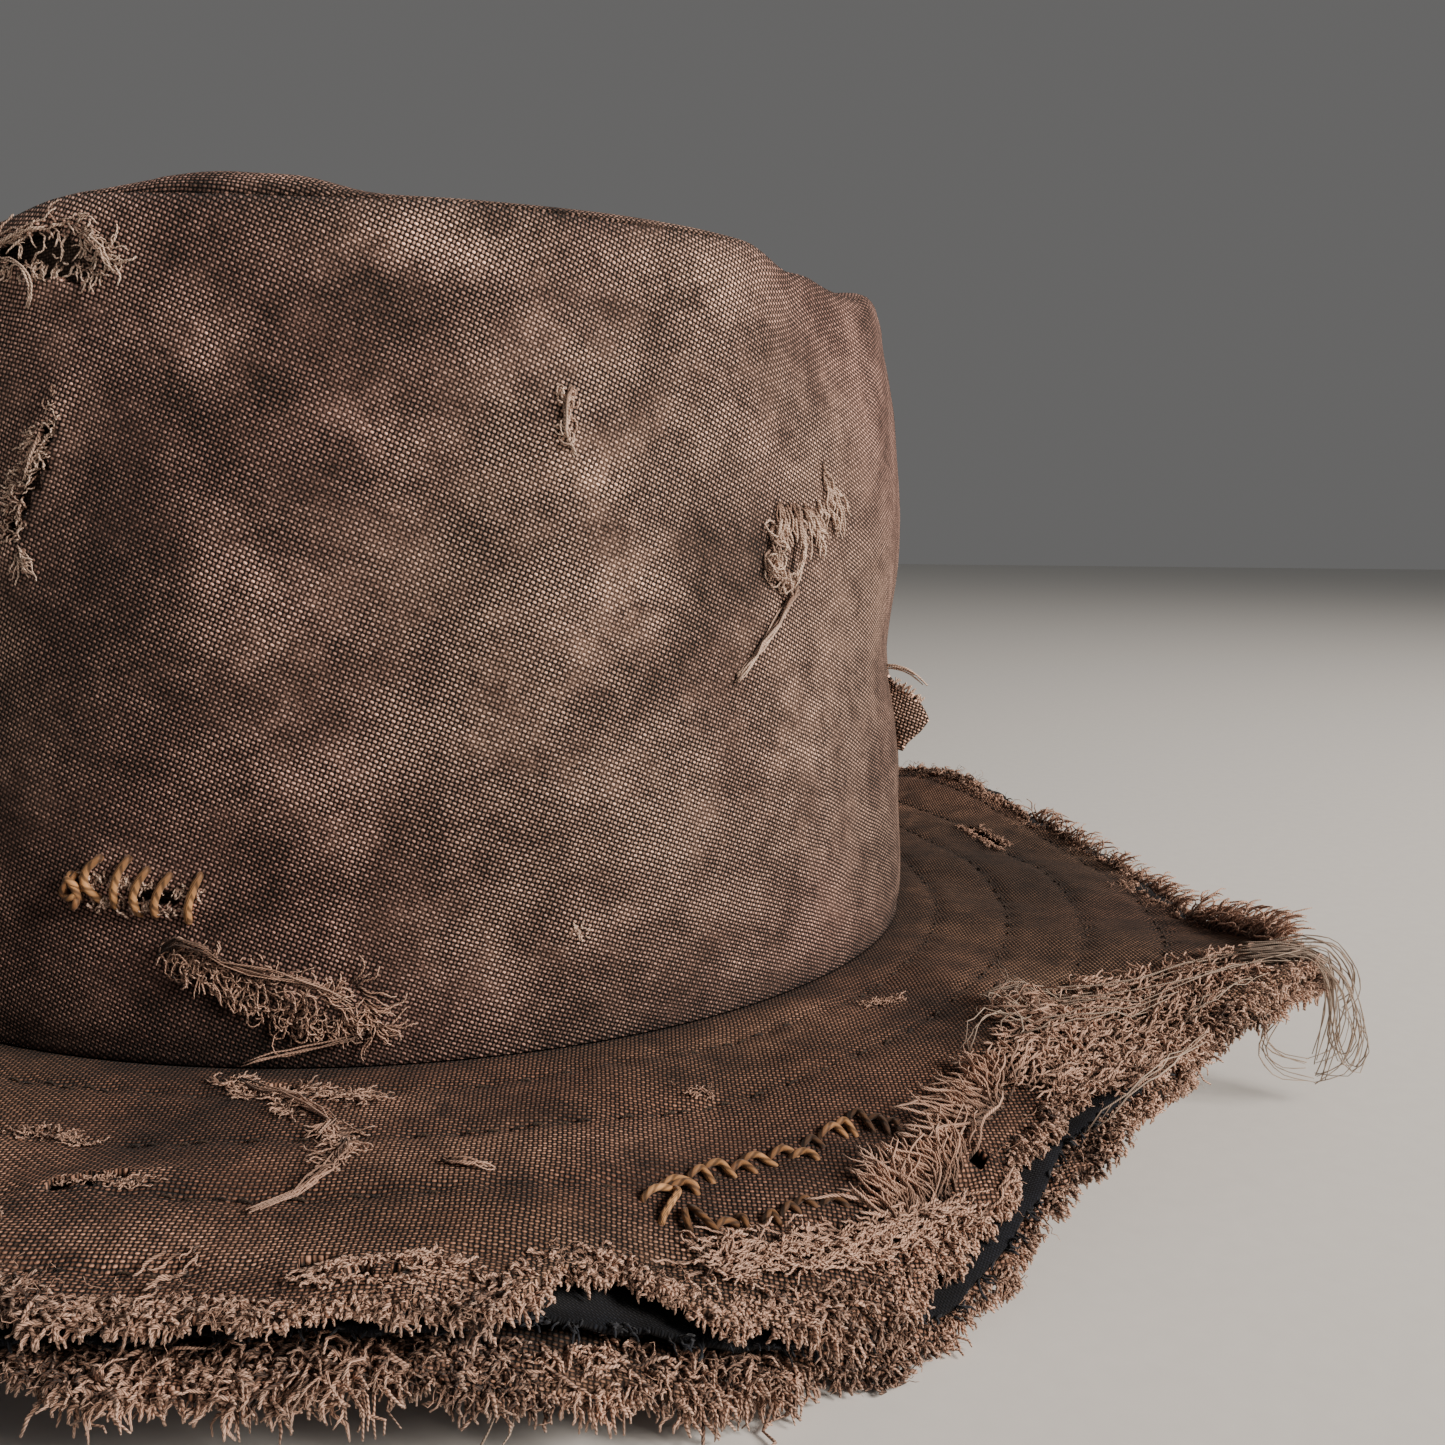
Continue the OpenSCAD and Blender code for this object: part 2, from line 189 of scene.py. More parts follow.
    # Painted light and shade: yarn crowns lighter as a painted highlight, pores darker as painted shade,
    # from the weave's height
    lit = add(tree, "MapRange", height, 0.26, 0.97, 1.0 - 0.8 * contrast, 1.0 + 1.75 * contrast,
              interpolation_type="SMOOTHSTEP")
    tinted = add(tree, "Math", tone, 1.5, 0.28, operation="MULTIPLY_ADD")
    bright = add(tree, "Math", lit, tinted, operation="MULTIPLY")
    bright = add(tree, "Math", bright, pore_depth_and_shade, operation="MULTIPLY")
    bright = add(tree, "Math", bright, slub, operation="MULTIPLY")
    # Rubbed places, where lint lies over the weave and hides it
    rubbed = add(tree, "TexNoise",
                 {"Vector": place, "Scale": 70.0, "Detail": 7.0, "Roughness": 0.75})
    veil = add(tree, "MapRange", rubbed, 0.49, 0.74, 0.0, 0.55)
    flecks = add(tree, "TexNoise", {"Vector": turned, "Scale": 2600.0, "Detail": 2.0})
    nap = add(tree, "MapRange", flecks, 0.35, 0.68, 0.45, 1.5)
    bright = add(tree, "Mix", veil, bright, nap, data_type="FLOAT")
    drift = add(tree, "TexNoise", {"Vector": place, "Scale": 13.0, "Detail": 2.0})
    turn = add(tree, "MapRange", drift, 0.42, 0.6)
    tint = add(tree, "Mix", turn, linear("#fdf2f1"), linear("#f4f3ed"), data_type="RGBA")
    dirt_and_shade = add(tree, "VectorMath", dirt_and_shade, tint, operation="MULTIPLY")
    colour = add(tree, "VectorMath", dirt_and_shade, bright, operation="SCALE")
    fuzz = add(tree, "TexNoise", {"Vector": flat, "Scale": 4500.0, "Detail": 2.0})
    surface = add(tree, "Math", height, pore_depth_and_shade, operation="MULTIPLY")
    surface = add(tree, "Math", fuzz, 0.3, surface, operation="MULTIPLY_ADD")
    finish_surface(tree, shader, colour, surface, relief * MM)
    return material


crown_canvas = woven("worn_cotton_canvas", YARN_PITCH, 22, "#46362e", "#705950", "#a08376",
                     "#d0ac9b", "#130d09", 0.26)


def wrap(azimuth):
    """An azimuth or a difference of azimuths, in degrees from -180 to 180."""
    return (azimuth + 180) % 360 - 180


def waves(azimuth, bumps):
    """Sum of smooth bumps, each (azimuth, half width in degrees, height), round the hat."""
    total = np.zeros_like(azimuth, dtype=float)
    for centre, half_width, height in bumps:
        off = np.abs(wrap(azimuth - centre))
        total += np.where(off < half_width, height * (1 + np.cos(np.pi * off / half_width)) / 2, 0)
    return total


def spots(u, v, places, turn_length):
    """Sum of soft spots, each (azimuth, v, half width, half height, amount), in mm."""
    total = np.zeros_like(u, dtype=float)
    for azimuth, height, wide, tall, amount in places:
        du = wrap(u - azimuth) / 360 * turn_length
        total += amount * np.exp(-(du / wide) ** 2 - ((v - height) / tall) ** 2)
    return total


def rumple(points, scale, seed):
    """Smooth noise from -1 to 1 at each point, with bumps about scale mm across."""
    shift = Vector((seed * 7.3, seed * 3.1, seed * 5.7))
    return np.array([noise.noise(Vector(p) / scale + shift) for p in points])


def polar(radius, azimuth, z):
    """Points at a radius and an azimuth in degrees, all in mm."""
    angle = np.radians(azimuth)
    return np.stack([radius * np.cos(angle), radius * np.sin(angle), z], -1)


def crown_radius(z):
    """Outside radius of the crown at height z: straight, then narrowing to the tip."""
    rise = np.clip((z - STRAIGHT_H) / (CROWN_H - STRAIGHT_H), 0, 1)
    return CROWN_R - (CROWN_R - TIP_R) * rise


# Soft dents and swellings, as (azimuth, height, half width, half height, depth) in mm
DENTS = [(-20, 46, 26, 13, -3.0), (-20, 8, 30, 8, 0.9), (-18, 104, 20, 8, -2.2),
         (-48, 101, 14, 8, -1.6), (-62, 96, 10, 12, 0.7), (-104, 52, 30, 20, 0.8),
         (40, 60, 30, 26, -2.4), (100, 84, 26, 20, -1.8), (150, 40, 34, 22, -2.6),
         (-160, 88, 26, 18, -2.0), (-128, 66, 16, 20, -0.8), (-75, 30, 26, 14, 0.6)]
RIM_SAG = [(-126, 11, -3.4), (-78, 26, 0.5), (-53.5, 5, -1.3), (-42, 18, -3.3), (-22, 13, -3.6),
           (-36, 3, 0.6), (70, 40, -1.6), (165, 30, -2.0)]


def on_crown(azimuth, z, lift=0.0):
    """Points on the crown's outside, in mm, with all its dents; lift stands them off it."""
    azimuth, z = np.broadcast_arrays(np.asarray(azimuth, float), np.asarray(z, float))
    angle = np.radians(azimuth)
    radius = crown_radius(z) + spots(azimuth, z, DENTS, 2 * np.pi * CROWN_R)
    folds = (np.sin(5 * angle + z / 19) + 0.7 * np.sin(11 * angle - z / 13 + 2)
             + 0.6 * np.sin(17 * angle + z / 31 + 4)) * 0.28
    corner = np.clip((z - (CROWN_H - 3)) / 3, 0, 1)
    crease = 0.5 * np.exp(-((z - 1.2) / 1.6) ** 2)
    radius = radius + folds * np.clip(z / 12, 0, 1) - 0.9 * corner ** 2 - crease + lift
    sag = waves(azimuth, RIM_SAG) * np.clip((z - 60) / (CROWN_H - 60), 0, 1) ** 2
    return polar(radius, azimuth, z + sag)


def cloth_grid(name, along, across):
    """A flat square of along by across quads, the raw cut that a cloth is shaped from, with
    each vertex's place on it, from 0 to 1 each way."""
    bpy.ops.object.select_all(action="DESELECT")
    bpy.ops.mesh.primitive_grid_add(x_subdivisions=along, y_subdivisions=across, size=1)
    made = bpy.context.object
    made.name = name
    made.data.name = name
    flat = np.zeros(len(made.data.vertices) * 3)
    made.data.vertices.foreach_get("co", flat)
    flat = flat.reshape(-1, 3) + 0.5
    return made, flat[:, 0], flat[:, 1]


def set_shape(piece, points):
    """Moves the vertices to points, given in mm."""
    piece.data.vertices.foreach_set("co", (points * MM).astype(np.float32).ravel())
    piece.data.update()


def set_weave(piece, u, v):
    """Writes the flat place of each vertex, in mm, as the UV map that the weave follows."""
    mesh = piece.data
    corner = np.zeros(len(mesh.loops), dtype=np.int32)
    mesh.loops.foreach_get("vertex_index", corner)
    layer = mesh.uv_layers.get("UVMap") or mesh.uv_layers.new(name="weave")
    layer.name = "weave"
    layer.data.foreach_set("uv", (np.stack([u, v], -1)[corner] * MM).astype(np.float32).ravel())


def set_attribute(piece, name, values):
    """Writes a number from 0 to 1 on each vertex."""
    layer = piece.data.attributes.new(name, "FLOAT", "POINT")
    layer.data.foreach_set("value", np.clip(values, 0, 1).astype(np.float32))


def tear_open(u, v, tears, cell):
    """Opens tears in a flat cloth. Each is (u, v, half length, half width, turn), in mm and
    degrees. Returns the moved places, whether each lies in a tear, and how near it is."""
    u, v = u.copy(), v.copy()
    inside = np.zeros(len(u), dtype=bool)
    near = np.zeros(len(u))
    for number, (centre_u, centre_v, half_length, half_width, turn) in enumerate(tears):
        c, s = math.cos(math.radians(turn)), math.sin(math.radians(turn))
        along = (u - centre_u) * c + (v - centre_v) * s
        across = -(u - centre_u) * s + (v - centre_v) * c
        jagged = 1 + 0.25 * np.sin(along * 1.9 + number) + 0.15 * np.sin(along * 4.3 + 2 * number)
        lip = half_width * np.sqrt(np.clip(1 - (along / half_length) ** 2, 0, 1)) * jagged
        within = np.abs(along) < half_length
        gap = np.abs(across) - lip
        snap = within & (np.abs(gap) < 0.6 * cell)
        new_across = np.where(snap, np.sign(across) * lip, across)
        inside |= within & (gap < 0) & ~snap
        u = centre_u + along * c - new_across * s
        v = centre_v + along * s + new_across * c
        beyond = np.hypot(np.clip(np.abs(along) - half_length, 0, None), np.clip(gap, 0, None))
        near = np.maximum(near, np.exp(-beyond / 2.0))
    return u, v, inside, near


def finish_cloth(piece, node, thickness, material, inside=None, closed=True):
    """Cuts the tears out, closes the ring's seam, gives the cloth its thickness, and puts it
    in place of its CAD node. inside tells which vertices lie in a tear."""
    bpy.ops.object.select_all(action="DESELECT")
    piece.select_set(True)
    bpy.context.view_layer.objects.active = piece
    mesh = bmesh.new()
    mesh.from_mesh(piece.data)
    if inside is not None:
        holes = [f for f in mesh.faces if any(inside[v.index] for v in f.verts)]
        bmesh.ops.delete(mesh, geom=holes, context="FACES")
    if closed:
        bmesh.ops.remove_doubles(mesh, verts=mesh.verts, dist=1e-6)
    mesh.to_mesh(piece.data)
    mesh.free()
    bpy.ops.object.modifier_add(type="SOLIDIFY")
    solid = piece.modifiers[-1]
    solid.thickness = thickness * MM
    solid.offset = -1
    bpy.ops.object.modifier_apply(modifier=solid.name)
    bpy.ops.object.shade_smooth()
    piece.data.materials.clear()
    piece.data.materials.append(material)
    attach(piece, "root")
    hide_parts(node)
    return piece


# Tears of the crown: (azimuth, height, half length, half width, turn)
CROWN_TEARS = [(-118, 101.3, 8.5, 2.4, -20), (-120, 74, 11.5, 1.3, 64), (-111, 22.3, 8.5, 0.9, -6),
               (-101, 11.6, 11.5, 0.8, -22), (-77.5, 82, 1.5, 0.7, 60), (-77, 16, 1.0, 0.7, 0),
               (118, 60, 9.0, 1.3, 20), (20, 88, 6.0, 1.0, -60)]
# Faded and soiled places: (azimuth, height, half width, half height, amount)
CROWN_FADES = [(-87, 103, 14, 4, 1.0), (-75, 75, 7, 5, 0.9), (-106, 91, 6, 5, 0.8),
               (-102, 60, 6, 8, 0.9), (-65, 100, 9, 5, 0.9), (-72, 60, 9, 7, 0.6),
               (-46, 66, 12, 22, 0.35), (-60, 84, 12, 10, 0.5), (-92, 80, 6, 5, 0.5),
               (-52, 40, 16, 10, 0.5), (-98, 36, 12, 6, 0.4), (30, 70, 20, 20, 0.6),
               (95, 40, 18, 16, 0.6), (170, 80, 22, 14, 0.6), (-150, 50, 16, 18, 0.5)]
CROWN_SOILS = [(-113, 62, 10, 16, 0.6), (-98, 70, 9, 8, 0.5), (-92, 96, 12, 5, 0.5),
               (-84, 66, 9, 6, 0.4), (-118, 40, 14, 10, 0.25), (-104, 8, 20, 6, 0.6),
               (-66, 70, 7, 8, 0.3), (-35, 14, 16, 8, 0.5), (-42, 62, 16, 34, 0.4),
               (-58.5, 65, 2.4, 5, 0.8), (60, 30, 20, 12, 0.6),
               (140, 70, 18, 20, 0.6), (-170, 30, 20, 12, 0.6)]


around, up = 460, 88
piece, s, t = cloth_grid("crown_side_cloth", around, up)
girth = 2 * np.pi * CROWN_R
u, v = s * girth, t * (CROWN_H + 0.2)
tears = [((wrap(a - BACK_SEAM) % 360) / 360 * girth, z, *rest) for a, z, *rest in CROWN_TEARS]
u, v, inside, near = tear_open(u, v, tears, girth / around)
azimuth = wrap(u / girth * 360 + BACK_SEAM)
curl = near * 0.7
points = on_crown(azimuth, v, curl)
rough = rumple(points, 22, 1) * 0.5 + rumple(points, 9, 2) * 0.18
points = on_crown(azimuth, v, curl + rough * np.clip(v / 8, 0, 1))
set_shape(piece, points)
set_weave(piece, u, v)
set_attribute(piece, "fade", spots(azimuth, v, CROWN_FADES, girth) + 0.5 * near ** 2)
# Darker towards the foot of the crown and just under the tip's seam
foot_and_rim_darkening = 0.65 * np.exp(-(v / 5) ** 2) + 0.35 * np.exp(-((CROWN_H - v) / 1.6) ** 2)
set_attribute(piece, "soil_and_shade", spots(azimuth, v, CROWN_SOILS, girth) + foot_and_rim_darkening)
crown_side = finish_cloth(piece, "crown_side", CLOTH_T, crown_canvas, inside)


# Crown tip. The round top panel, of the same canvas, cut flat and sewn to the side with a
# narrow seam. The seam allowance makes it roll over at the rim, stuffed high at the left and
# flattened to a thin ridge at the front and right, and the middle stands in a low dome.
TIP_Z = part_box("crown_tip")[0].z / MM
TIP_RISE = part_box("crown_tip")[1].z / MM - TIP_Z
ROLL_HIGH = [(-104, 14, 2.5), (-97.5, 5, 0.6), (-66, 20, 0.5), (-160, 26, 2.0), (160, 40, 1.2),
             (110, 40, 2.2), (40, 40, 1.4)]
TIP_DENTS = [(-60, 62, 34, 22, -2.2), (20, 40, 30, 24, -1.8), (120, 55, 28, 20, -1.5),
             (-140, 30, 26, 22, -1.2), (-30, 78, 24, 8, -1.0)]
SEAM_STITCH = 3.1
BACK_STITCH = 2.6
# A round panel runs this share of the way in, so that its faces keep some width there
TO_MIDDLE = 0.9995


def on_tip(azimuth, share):
    """Points on the tip panel, share 1 at the seam and 0 in the middle, in mm."""
    rim = on_crown(azimuth, np.full_like(azimuth, CROWN_H))
    angle = np.radians(azimuth)
    rim_r = np.hypot(rim[..., 0], rim[..., 1])
    roll = 0.45 + waves(azimuth, ROLL_HIGH)
    inward = (1 - share) * rim_r
    shoulder = np.clip(inward / (2.2 + 0.6 * roll), 0, 1)
    bulge = roll * np.sqrt(1 - (1 - shoulder) ** 2)
    trough = -0.9 * np.exp(-((inward - 9) / 4.0) ** 2) * np.clip(roll / 3, 0.3, 1)
    dome = (TIP_RISE - 5.0) * np.clip(inward / 70, 0, 1) ** 0.7
    radius = rim_r * share + 0.45 * np.sin(np.pi * np.clip(shoulder * 1.4, 0, 1)) * (roll > 2)
    flat = waves(azimuth, [])
    for place, off, wide, tall, depth in TIP_DENTS:
        x = radius * np.cos(angle) - off * math.cos(math.radians(place))
        y = radius * np.sin(angle) - off * math.sin(math.radians(place))
        flat = flat + depth * np.exp(-(x / wide) ** 2 - (y / tall) ** 2)
    # The uneven height of the rim dies away towards the middle
    middle = np.clip((inward - 6) / 60, 0, 1)
    middle = middle * middle * (3 - 2 * middle)
    edge_z = rim[..., 2] + bulge
    z = edge_z + (CROWN_H + 0.5 - edge_z) * middle
    z = z + 0.1 + trough + dome + flat * np.clip(inward / 14, 0, 1)
    return polar(radius, azimuth, z)


piece, s, t = cloth_grid("crown_tip_cloth", 360, 72)
azimuth = wrap(s * 360 + BACK_SEAM)
share = 1 - t ** 1.35 * TO_MIDDLE
points = on_tip(azimuth, share)
rough = rumple(points * [1, 1, 0.3], 24, 5) * 0.9 + rumple(points, 8, 6) * 0.2
points[:, 2] += rough * np.clip((1 - share) * CROWN_R / 8, 0, 1)
set_shape(piece, points)
roll = 0.45 + waves(azimuth, ROLL_HIGH)
shoulder = np.clip((1 - share) * TIP_R / (2.2 + 0.6 * roll), 0, 1)
flat_r = share * TIP_R + 0.9 * roll * (1 - np.sqrt(1 - (1 - shoulder) ** 2))
u, v = flat_r * np.cos(np.radians(azimuth)), flat_r * np.sin(np.radians(azimuth))
set_weave(piece, u, v)
rim_wear = 0.8 * np.exp(-((1 - share) * TIP_R / 2.6) ** 2) * (0.5 + 0.5 * rumple(points, 12, 7))
places = [(-100, 60, 20, 16, 0.6), (10, 40, 26, 20, 0.7), (140, 30, 24, 20, 0.6)]
set_attribute(piece, "fade", spots(azimuth, flat_r, places, 300) + rim_wear)
# The tip is darker along its seam and in a ring about 9 mm in, over the trough
groove = 0.8 * np.exp(-((1 - share) * TIP_R / 0.8) ** 2)
set_attribute(piece, "soil_and_shade", groove + 0.4 * np.exp(-(((1 - share) * TIP_R - 9) / 4) ** 2))
crown_tip = finish_cloth(piece, "crown_tip", CLOTH_T, crown_canvas)


def tubes(name, node, paths, radii, tones, sides, material):
    """One piece of many round yarns, in place of a CAD node if one is named. paths is
    (yarns, points, 3) in mm, radii in mm has one value for each point, and tones one number
    from 0 to 1 for each yarn."""
    yarns, points, _ = paths.shape
    radii = np.broadcast_to(radii, (yarns, points))
    tangent = np.gradient(paths, axis=1)
    tangent /= np.maximum(np.linalg.norm(tangent, axis=2, keepdims=True), 1e-9)
    start = np.tile([0.13, 0.21, 0.97], (yarns, 1))
    start[np.abs(tangent[:, 0, 2]) > 0.9] = [0.97, 0.2, 0.1]
    normal = np.zeros_like(paths)
    for step in range(points):
        start = start - np.sum(start * tangent[:, step], 1, keepdims=True) * tangent[:, step]
        start /= np.maximum(np.linalg.norm(start, axis=1, keepdims=True), 1e-9)
        normal[:, step] = start
    binormal = np.cross(tangent, normal)
    turn = np.arange(sides) / sides * 2 * np.pi
    ring = (normal[:, :, None] * np.cos(turn)[:, None] + binormal[:, :, None] * np.sin(turn)[:, None])
    corners = (paths[:, :, None] + ring * radii[:, :, None, None]) * MM
    first = (np.arange(yarns)[:, None, None] * points + np.arange(points - 1)[None, :, None]) * sides
    here, after = np.arange(sides)[None, None], (np.arange(sides)[None, None] + 1) % sides
    walls = np.stack([first + here, first + after, first + sides + after, first + sides + here], -1)
    walls = walls.reshape(-1, 4)
    root = np.arange(yarns)[:, None] * points * sides
    near_end = root + np.arange(sides)[::-1][None]
    far_end = root + (points - 1) * sides + np.arange(sides)[None]
    loops = np.concatenate([walls.ravel(), near_end.ravel(), far_end.ravel()]).astype(np.int32)
    sizes = np.concatenate([np.full(len(walls), 4), np.full(2 * yarns, sides)]).astype(np.int32)
    mesh = bpy.data.meshes.new(name)
    mesh.vertices.add(yarns * points * sides)
    mesh.vertices.foreach_set("co", corners.astype(np.float32).ravel())
    mesh.loops.add(len(loops))
    mesh.loops.foreach_set("vertex_index", loops)
    mesh.polygons.add(len(sizes))
    mesh.polygons.foreach_set("loop_start", (np.cumsum(sizes) - sizes).astype(np.int32))
    mesh.polygons.foreach_set("use_smooth", np.ones(len(sizes), dtype=bool))
    mesh.update(calc_edges=True)
    mesh.validate()
    gaps = np.linalg.norm(np.diff(paths, axis=1), axis=2)
    length = np.concatenate([np.zeros((yarns, 1)), np.cumsum(gaps, axis=1)], 1)
    piece = bpy.data.objects.new(name, mesh)
    bpy.context.scene.collection.objects.link(piece)
    wide = np.broadcast_to(length[:, :, None], (yarns, points, sides)).ravel()
    about = np.broadcast_to(np.arange(sides) / sides, (yarns, points, sides)).ravel() / MM
    corner = np.zeros(len(mesh.loops), dtype=np.int32)
    mesh.loops.foreach_get("vertex_index", corner)
    layer = mesh.uv_layers.new(name="weave")
    layer.data.foreach_set("uv", (np.stack([wide, about], -1)[corner] * MM).astype(np.float32).ravel())
    each = np.broadcast_to(np.asarray(tones, float)[:, None, None], (yarns, points, sides)).ravel()
    part = np.broadcast_to(np.linspace(0, 1, points)[None, :, None], (yarns, points, sides)).ravel()
    set_attribute(piece, "tone", each)
    set_attribute(piece, "along", part)
    mesh.materials.append(material)
    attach(piece, "root")
    if node:
        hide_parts(node)


def spun(name, twist, root_shade_colour, dark, light, tip, gloss=0.9, wax=0.0):
    """Spun yarn or twisted thread. twist is the length of one turn in mm. Its colour goes from
    the root colour at the root, a painted shade, to tip at the end, partly fading and partly a
    painted highlight, and each yarn lies between dark and light."""
    material, tree, shader = new_material(name, gloss, 0.1)
    shader.inputs["Coat Weight"].default_value = wax
    shader.inputs["Coat Roughness"].default_value = 0.45
    tone = add(tree, "Attribute", attribute_name="tone").outputs["Fac"]
    along = add(tree, "Attribute", attribute_name="along").outputs["Fac"]
    place = add(tree, "TexCoord").outputs["Object"]
    speck = add(tree, "TexNoise",
                {"Vector": place, "Scale": 380.0, "Detail": 4.0, "Roughness": 0.65})
    mixed = add(tree, "Math", speck, 0.8, tone, operation="MULTIPLY_ADD")
    base = add(tree, "ValToRGB", mixed, stops=[(0.36, dark), (1.0, light)])
    # Painted shade: darker towards the root, where the yarn leaves the cloth among the others
    rooted = add(tree, "MapRange", along, 0.0, 0.55, 0.85, 0.0)
    shaded = add(tree, "Mix", rooted, base, linear(root_shade_colour), data_type="RGBA")
    # Lighter towards the tip: partly fading, partly a painted highlight
    ends = add(tree, "MapRange", along, 0.6, 1.0, 0.0, 0.6)
    ended = add(tree, "Mix", ends, shaded, linear(tip), data_type="RGBA")
    around = add(tree, "UVMap", uv_map="weave")
    split = add(tree, "SeparateXYZ", around)
    turns = add(tree, "Math", split.outputs[0], 1 / (twist * MM), split.outputs[1],
                operation="MULTIPLY_ADD")
    phase = add(tree, "Math", turns, 4 * math.pi, operation="MULTIPLY")
    ply = add(tree, "Math", phase, operation="SINE")
    # Painted shade in the cleft between the plies and a painted highlight on their crowns, along the
    # twist
    ply_relief_and_shade = add(tree, "MapRange", ply, -1.0, 0.2, 0.35, 1.1)
    colour = add(tree, "VectorMath", ended, ply_relief_and_shade, operation="SCALE")
    finish_surface(tree, shader, colour, ply_relief_and_shade, 0.00012, 0.8)
    return material


# Sewing thread of the seams and the brim: fine, dark brown, half buried in the cloth
seam_thread = spun("dark_sewing_thread", 0.7, "#1b120d", "#1f1510", "#40301f", "#241812")


def stitches(name, node, places, length, reach, radius, on_surface, lift):
    """A row of separate stitches. places are the middles along the seam, in mm from its
    start, on_surface gives the point at a place and a height over the cloth."""
    steps = np.linspace(-0.5, 0.5, 5)
    arch = np.array([-0.35, 0.1, 0.28, 0.1, -0.35]) * reach
    where = places[:, None] + steps[None] * length
    paths = on_surface(where, arch[None] + lift)
    tones = np.random.default_rng(len(places)).uniform(0, 1, len(places))
    tubes(name, node, paths, radius, tones, 5, seam_thread)


# Stitches of the tip's seam, all round under its rim, and of the side's own seam at the back
girth = 2 * np.pi * TIP_R


def on_seam(where, height):
    azimuth = where / girth * 360
    points = on_crown(azimuth, np.full_like(azimuth, CROWN_H - 0.1))
    outward = polar(1, azimuth, np.zeros_like(azimuth))
    return points + outward * (height[..., None] - 1.0)


places = np.arange(0, girth - SEAM_STITCH, SEAM_STITCH)
stitches("tip_seam_stitches", "tip_seam_thread", places, 2.3, 0.5, 0.2, on_seam, 0.0)

heights = np.arange(3, CROWN_H - 3, BACK_STITCH)


def on_back_seam(where, height):
    return on_crown(np.full_like(where, BACK_SEAM), where, height)


stitches("back_seam_stitches", "back_seam_thread", heights, 1.9, 0.5, 0.2, on_back_seam,
         0.1)


# Lining and sweatband, seen from below. The lining is a thin, close cotton in a grey brown:
# a strip inside the crown and a round tip. The sweatband is a cotton twill ribbon folded up
# inside the opening and sewn through the brim's edge, darkened where it has been worn.
lining_low, lining_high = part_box("lining_side")
lining_tip_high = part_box("lining_tip")[1]
band_low, band_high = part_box("sweatband")
LINING_T = 0.6
BAND_T = 1.2
BAND_STITCH = 3.4

lining_cotton = woven("grey_brown_lining_cotton", 0.42, 4, "#2f2824", "#463c35", "#5d5048",
                      "#75675c", "#16110e", 0.1, 0.6)


piece, s, t = cloth_grid("lining_side_cloth", 300, 40)
azimuth = wrap(s * 360 + BACK_SEAM)
low, high = lining_low.z / MM, lining_high.z / MM
z = low + t * (high - low)
outer = on_crown(azimuth, np.clip(z, 2, CROWN_H - 3), -CLOTH_T - 0.35)
angle = np.radians(azimuth)
outer_r = np.hypot(outer[:, 0], outer[:, 1])
slack = 0.6 * (1 + np.sin(14 * angle + z / 17)) * np.clip((z - 32) / 20, 0, 1)
radius = np.minimum(outer_r, lining_high.x / MM) - slack
sag = outer[:, 2] - np.clip(z, 2, CROWN_H - 3)
set_shape(piece, polar(radius, azimuth, z + sag))
set_weave(piece, s * 2 * np.pi * radius.mean(), z)
set_attribute(piece, "fade", 0 * z)
set_attribute(piece, "soil_and_shade", 0.6 * np.exp(-((z - 26) / 10) ** 2))
lining_side = finish_cloth(piece, "lining_side", LINING_T, lining_cotton)

piece, s, t = cloth_grid("lining_tip_cloth", 240, 40)
azimuth = wrap(s * 360 + BACK_SEAM)
share = 1 - t * TO_MIDDLE
points = on_tip(azimuth, share * 0.985)
points[:, :2] *= (lining_tip_high.x / MM - 0.6) / (TIP_R * 0.985)
hang = 1.6 + 1.4 * np.abs(rumple(points, 30, 11)) * np.sin(np.pi * share) ** 0.7
points[:, 2] -= CLOTH_T + hang
set_shape(piece, points)
set_weave(piece, points[:, 0], points[:, 1])
set_attribute(piece, "fade", 0 * share)
set_attribute(piece, "soil_and_shade", 0.5 * np.exp(-((share - 0.98) / 0.05) ** 2))
lining_tip = finish_cloth(piece, "lining_tip", LINING_T, lining_cotton)


def make_twill(name, rib, dark, middle, light):
    """Cotton twill: fine ribs that climb at 45 degrees, with slubs along them."""
    material, tree, shader = new_material(name, 0.85, 0.1)
    flat = add(tree, "UVMap", uv_map="weave")
    turned = add(tree, "Mapping", {"Vector": flat, "Rotation": (0, 0, math.radians(45))})
    split = add(tree, "SeparateXYZ", turned)
    phase = add(tree, "Math", split.outputs[0], 2 * math.pi / (rib * MM), operation="MULTIPLY")
    wale = add(tree, "Math", phase, operation="SINE")
    stretched = add(tree, "Mapping", {"Vector": turned, "Scale": (2600.0, 500.0, 1.0)})
    slub = add(tree, "TexNoise", {"Vector": stretched, "Scale": 1.0, "Detail": 2.0})
    height = add(tree, "Math", slub, 0.9, wale, operation="MULTIPLY_ADD")
    stain = add(tree, "TexNoise",
                {"Vector": add(tree, "TexCoord").outputs["Object"], "Scale": 35.0, "Detail": 4.0})
    base = add(tree, "ValToRGB", stain, stops=[(0.38, dark), (0.68, light), (0.5, middle)])
    lit = add(tree, "MapRange", height, -0.8, 1.3, 0.45, 1.2)
    colour = add(tree, "VectorMath", base, lit, operation="SCALE")
    finish_surface(tree, shader, colour, height, 0.00012)
    return material


# Cotton twill ribbon: matt ribs 1 mm apart, stained darker where it was worn
band_twill = make_twill("cotton_twill_ribbon", 1.0, "#2a211b", "#40342b", "#5a4a3d")


